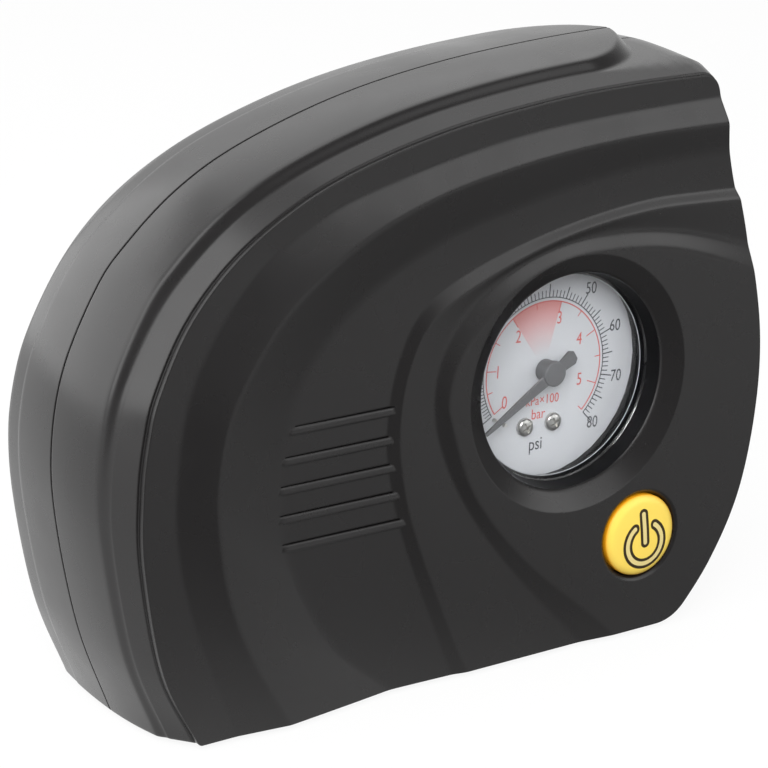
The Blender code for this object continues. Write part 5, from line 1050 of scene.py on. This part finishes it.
def material(name, colour, rough, metallic=0.0, grain=0.15, scale=2600, vary=0.06, bevel=0.0, specular=0.5):
    """Finish with a fine grain, soft marks in its gloss and a slight change of tone."""
    made = bpy.data.materials.new(name)
    made.use_nodes = True
    nodes = made.node_tree.nodes
    shader = nodes["Principled BSDF"]
    put(shader, {"Metallic": metallic, "Specular IOR Level": specular})
    place = nodes.new("ShaderNodeTexCoord")
    cloud = nodes.new("ShaderNodeTexNoise")
    put(cloud, {"Scale": CLOUD_SCALE, "Detail": 5})
    wire(place, "Object", cloud, "Vector")
    gloss = nodes.new("ShaderNodeMapRange")
    put(gloss, {"From Min": 0.3, "From Max": 0.7})
    put(gloss, {"To Min": rough - GLOSS_SPREAD, "To Max": rough + GLOSS_SPREAD})
    wire(cloud, "Fac", gloss, "Value")
    wire(gloss, "Result", shader, "Roughness")
    speck = nodes.new("ShaderNodeTexNoise")
    put(speck, {"Scale": scale, "Detail": 3})
    wire(place, "Object", speck, "Vector")
    deep = [c * (1 - vary) for c in colour]
    pale = [min(1, c * (1 + vary)) for c in colour]
    tone_mix(made, deep, pale, speck.outputs["Fac"])
    bump = nodes.new("ShaderNodeBump")
    put(bump, {"Strength": grain, "Distance": GRAIN_DEPTH})
    wire(speck, "Fac", bump, "Height")
    if bevel:
        soft = nodes.new("ShaderNodeBevel")
        soft.samples = 6
        put(soft, {"Radius": bevel})
        wire(soft, "Normal", bump, "Normal")
    wire(bump, "Normal", shader, "Normal")
    return made


def mix_surface(made, factor, first, second):
    """Surface that goes from one shader to another."""
    nodes, links = made.node_tree.nodes, made.node_tree.links
    mix = nodes.new("ShaderNodeMixShader")
    for socket, source in zip(mix.inputs, (factor, first.outputs[0], second.outputs[0])):
        links.new(source, socket)
    wire(mix, "Shader", nodes["Material Output"], "Surface")


def clear_lens(name):
    """Clear polished plastic that lets lamp light through to the dial."""
    made = material(name, (0.96, 0.97, 0.98), 0.05, grain=0.01, scale=300, vary=0.0, specular=0.15)
    nodes = made.node_tree.nodes
    shader = nodes["Principled BSDF"]
    put(shader, {"Transmission Weight": 1.0, "IOR": 1.49})
    path = nodes.new("ShaderNodeLightPath")
    through = nodes.new("ShaderNodeBsdfTransparent")
    put(through, {"Color": (0.95, 0.96, 0.97, 1)})
    mix_surface(made, path.outputs["Is Shadow Ray"], shader, through)
    return made


def red_field(name):
    """Red print that fades into the dial towards the middle."""
    made = material(name, DIAL_TONE, 0.55, grain=0.03)
    fade = made.node_tree.nodes.new("ShaderNodeAttribute")
    fade.attribute_name = "fade"
    tone_mix(made, DIAL_TONE, (0.58, 0.20, 0.185), fade.outputs["Fac"])
    return made


def deep_sides(name, face_tone, shaded_side_tone):
    """Plastic whose round edge and sides are painted a deeper, darker orange than its face, by the
    direction they face: painted shade.
    """
    made = material(name, face_tone, 0.34, grain=0.04, vary=0.03, bevel=0.0004, specular=0.4)
    nodes = made.node_tree.nodes
    # Darker orange where the surface turns away from the front: painted shade on the edge and sides
    split = nodes.new("ShaderNodeSeparateXYZ")
    wire(nodes.new("ShaderNodeNewGeometry"), "Normal", split, "Vector")
    side = nodes.new("ShaderNodeMapRange")
    put(side, {"From Min": -0.93, "From Max": -0.3})
    wire(split, "Y", side, "Value")
    face = nodes["Principled BSDF"].inputs["Base Color"].links[0].from_socket
    tone_mix(made, face, shaded_side_tone, side.outputs["Result"])
    return made


FINISHES = {
    "shell_black": material(
        "shell_black", (0.0088, 0.0080, 0.0082), 0.27, grain=0.12, scale=2400, vary=0.12, bevel=0.0005,
        specular=0.6,
    ),
    "dark_plastic": material("dark_plastic", (0.004, 0.004, 0.0045), 0.3, grain=0.02, specular=0.25),
    # Yellow face, with painted shade in deeper orange on the round edge and sides
    "button_yellow": deep_sides("button_yellow", (1.0, 0.72, 0.125), (0.86, 0.36, 0.01)),
    "lens_clear": clear_lens("lens_clear"),
    "dial_white": material("dial_white", DIAL_TONE, 0.5, grain=0.04, vary=0.015),
    "needle_grey": material("needle_grey", (0.085, 0.085, 0.088), 0.5, grain=0.1, vary=0.05),
}
FINISHES |= {name: material(name, *row) for name, row in PLAIN_FINISHES.items()}
# Near-black, dull finish for the wall inside the gauge opening: painted shade of the recess, on the same
# plastic as the shell
GAUGE_WELL_PAINTED_SHADE = material("gauge_well_painted_shade", (0.0035, 0.0035, 0.004), 0.5, grain=0.05, specular=0.1)
# Light grey colour on the bead: a painted highlight along the edge of the window
LENS_EDGE_PAINTED_HIGHLIGHT = material("lens_edge", (0.38, 0.39, 0.40), 0.2, grain=0.01, vary=0.02, specular=0.6)
PRINT_BLACK = material("print_black", (0.035, 0.036, 0.04), 0.6, grain=0.03)
PRINT_RED = material("print_red", (0.52, 0.09, 0.075), 0.6, grain=0.03)
PRINT_FIELD = red_field("print_red_field")
SYMBOL_DARK = material("symbol_dark", (0.035, 0.022, 0.006), 0.6, grain=0.05)
SYMBOL_PALE = material("symbol_pale", (0.80, 0.66, 0.28), 0.45, grain=0.05, vary=0.04)


# Stage
def math_node(tree, operation, first, second):
    node = tree.nodes.new("ShaderNodeMath")
    node.operation = operation
    tree.links.new(first, node.inputs[0])
    tree.links.new(second, node.inputs[1])
    return node.outputs[0]


def seen_white(tree, source, fade, low):
    """One where the camera looks and where gloss or glass shows what is behind the object; else low."""
    along = tree.nodes.new("ShaderNodeVectorMath")
    along.operation = "DOT_PRODUCT"
    along.inputs[1].default_value = BEHIND
    tree.links.new(source, along.inputs[0])
    behind = tree.nodes.new("ShaderNodeMapRange")
    behind.interpolation_type = "SMOOTHSTEP"
    put(behind, {"From Min": fade[0], "From Max": fade[1]})
    wire(along, "Value", behind, "Value")
    path = tree.nodes.new("ShaderNodeLightPath").outputs
    mirrored = math_node(tree, "MAXIMUM", path["Is Glossy Ray"], path["Is Transmission Ray"])
    mirrored = math_node(tree, "MULTIPLY", mirrored, behind.outputs["Result"])
    seen = math_node(tree, "MAXIMUM", path["Is Camera Ray"], mirrored)
    share = tree.nodes.new("ShaderNodeMapRange")
    put(share, {"To Min": low})
    tree.links.new(seen, share.inputs["Value"])
    return share.outputs["Result"]


def make_floor():
    """Pale floor that keeps the shadow of the object."""
    mesh = bpy.data.meshes.new("floor")
    line = [FLOOR_REACH * (2 * i / FLOOR_CELLS - 1) for i in range(FLOOR_CELLS + 1)]
    mesh.from_pydata([(x, y, 0) for y in line for x in line], [], grid(len(line), len(line)))
    paper = material("paper", (0.16, 0.16, 0.16), 0.15, grain=0.02, scale=200, vary=0.0, specular=1.0)
    nodes = paper.node_tree.nodes
    place = nodes.new("ShaderNodeNewGeometry").outputs["Position"]
    glow = nodes.new("ShaderNodeEmission")
    put(glow, {"Strength": FLOOR_GLOW})
    lit = nodes.new("ShaderNodeBsdfDiffuse")
    put(lit, {"Color": (0.1, 0.1, 0.1, 1)})
    white = nodes.new("ShaderNodeAddShader")
    wire(glow, "Emission", white, 0)
    wire(lit, "BSDF", white, 1)
    seen = seen_white(paper.node_tree, place, FLOOR_FADE, 0.0)
    mix_surface(paper, seen, nodes["Principled BSDF"], white)
    mesh.materials.append(paper)
    return placed("floor", mesh)


def make_world():
    world = bpy.data.worlds.new("studio")
    bpy.context.scene.world = world
    world.use_nodes = True
    nodes, links = world.node_tree.nodes, world.node_tree.links
    back = nodes["Background"]
    put(back, {"Color": (1, 1, 1, 1)})
    way = nodes.new("ShaderNodeTexCoord").outputs["Generated"]
    links.new(seen_white(world.node_tree, way, WORLD_FADE, WORLD_LEVEL), back.inputs["Strength"])


def lamp(name, place, target, size, power, mirrored):
    data = bpy.data.lights.new(name, "AREA")
    data.shape = "RECTANGLE"
    data.size, data.size_y = size
    data.energy = power
    piece = placed(name, data)
    piece.location = place
    piece.rotation_euler = (Vector(target) - Vector(place)).to_track_quat("-Z", "Y").to_euler()
    piece.visible_glossy = mirrored


def make_camera():
    """Camera at the front left, above the object."""
    data = bpy.data.cameras.new("camera")
    data.lens = CAMERA_LENS
    data.sensor_width = CAMERA_SENSOR
    data.clip_start = CAMERA_CLIP
    made = placed("camera", data)
    look = Euler((radians(90 - CAMERA_TILT), 0, radians(-CAMERA_TURN)))
    made.matrix_world = Matrix.Translation(CAMERA_PLACE) @ look.to_matrix().to_4x4()
    return made


def dress(piece, body, slot, *nodes, finish_made=None):
    """Give a piece its finish, the one of the material slot unless another is given, join it to its body,
    and hide the imported nodes that it stands for.
    """
    piece.data.materials.clear()
    piece.data.materials.append(finish_made or FINISHES[slot])
    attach(piece, body)
    if nodes:
        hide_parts(*nodes)
    return piece


# Pieces
for subpart in frame["record"]["subparts"]:
    node = frame["nodes"][subpart["node"]]
    node.data.materials.clear()
    node.data.materials.append(FINISHES[subpart["material_slot"]])

shell = dress(front_skin(), "housing", "shell_black", "front_shell")
# Faces of the wall inside the gauge opening take the painted shade of the recess
shell.data.materials.append(GAUGE_WELL_PAINTED_SHADE)
for face in shell.data.polygons:
    spot = face.center / MM - ORIGIN
    if hypot(spot.x, spot.z - GAUGE_Z) < OPENING + WELL_SHADE_MARGIN and spot.y > RIM_PLANE + WELL_SHADE_START:
        face.material_index = 1
dress(rear_skin(), "housing", "shell_black", "rear_shell")
dress(lens_skin(), "housing", "lens_clear", "gauge_lens")
dress(case_skin(), "housing", "dark_plastic", "gauge_case")
dress(lens_ring(), "housing", "dark_plastic")
# The bead shows the painted highlight round the window
dress(lens_edge(), "housing", "lens_clear", finish_made=LENS_EDGE_PAINTED_HIGHLIGHT)
dress(needle_skin(), "needle", "needle_grey", "needle")
for name, u, z in DIAL_SCREWS:
    dress(screw_skin(name + "_skin", u, z), "housing", "steel", name)
for made, ink in zip(dial_print(), (PRINT_BLACK, PRINT_BLACK, PRINT_RED, PRINT_RED, PRINT_FIELD)):
    dress(thicken(made, PRINT_DEPTH), "housing", "dial_white", finish_made=ink)
dress(button_skin(), "button", "button_yellow", "power_button")
dress(thicken(symbol_lines(), SYMBOL_DEPTH), "button", "button_yellow", finish_made=SYMBOL_DARK)
dress(thicken(symbol_fill(), SYMBOL_DEPTH), "button", "button_yellow", finish_made=SYMBOL_PALE)
spring = dress(spring_skin(), "housing", "steel", "button_spring")
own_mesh(spring)

# Floor, world, lamps and camera
floor = make_floor()
make_world()
for row in LAMPS:
    lamp(*row)
bpy.context.scene.camera = make_camera()
bpy.context.scene.view_settings.view_transform = "Standard"
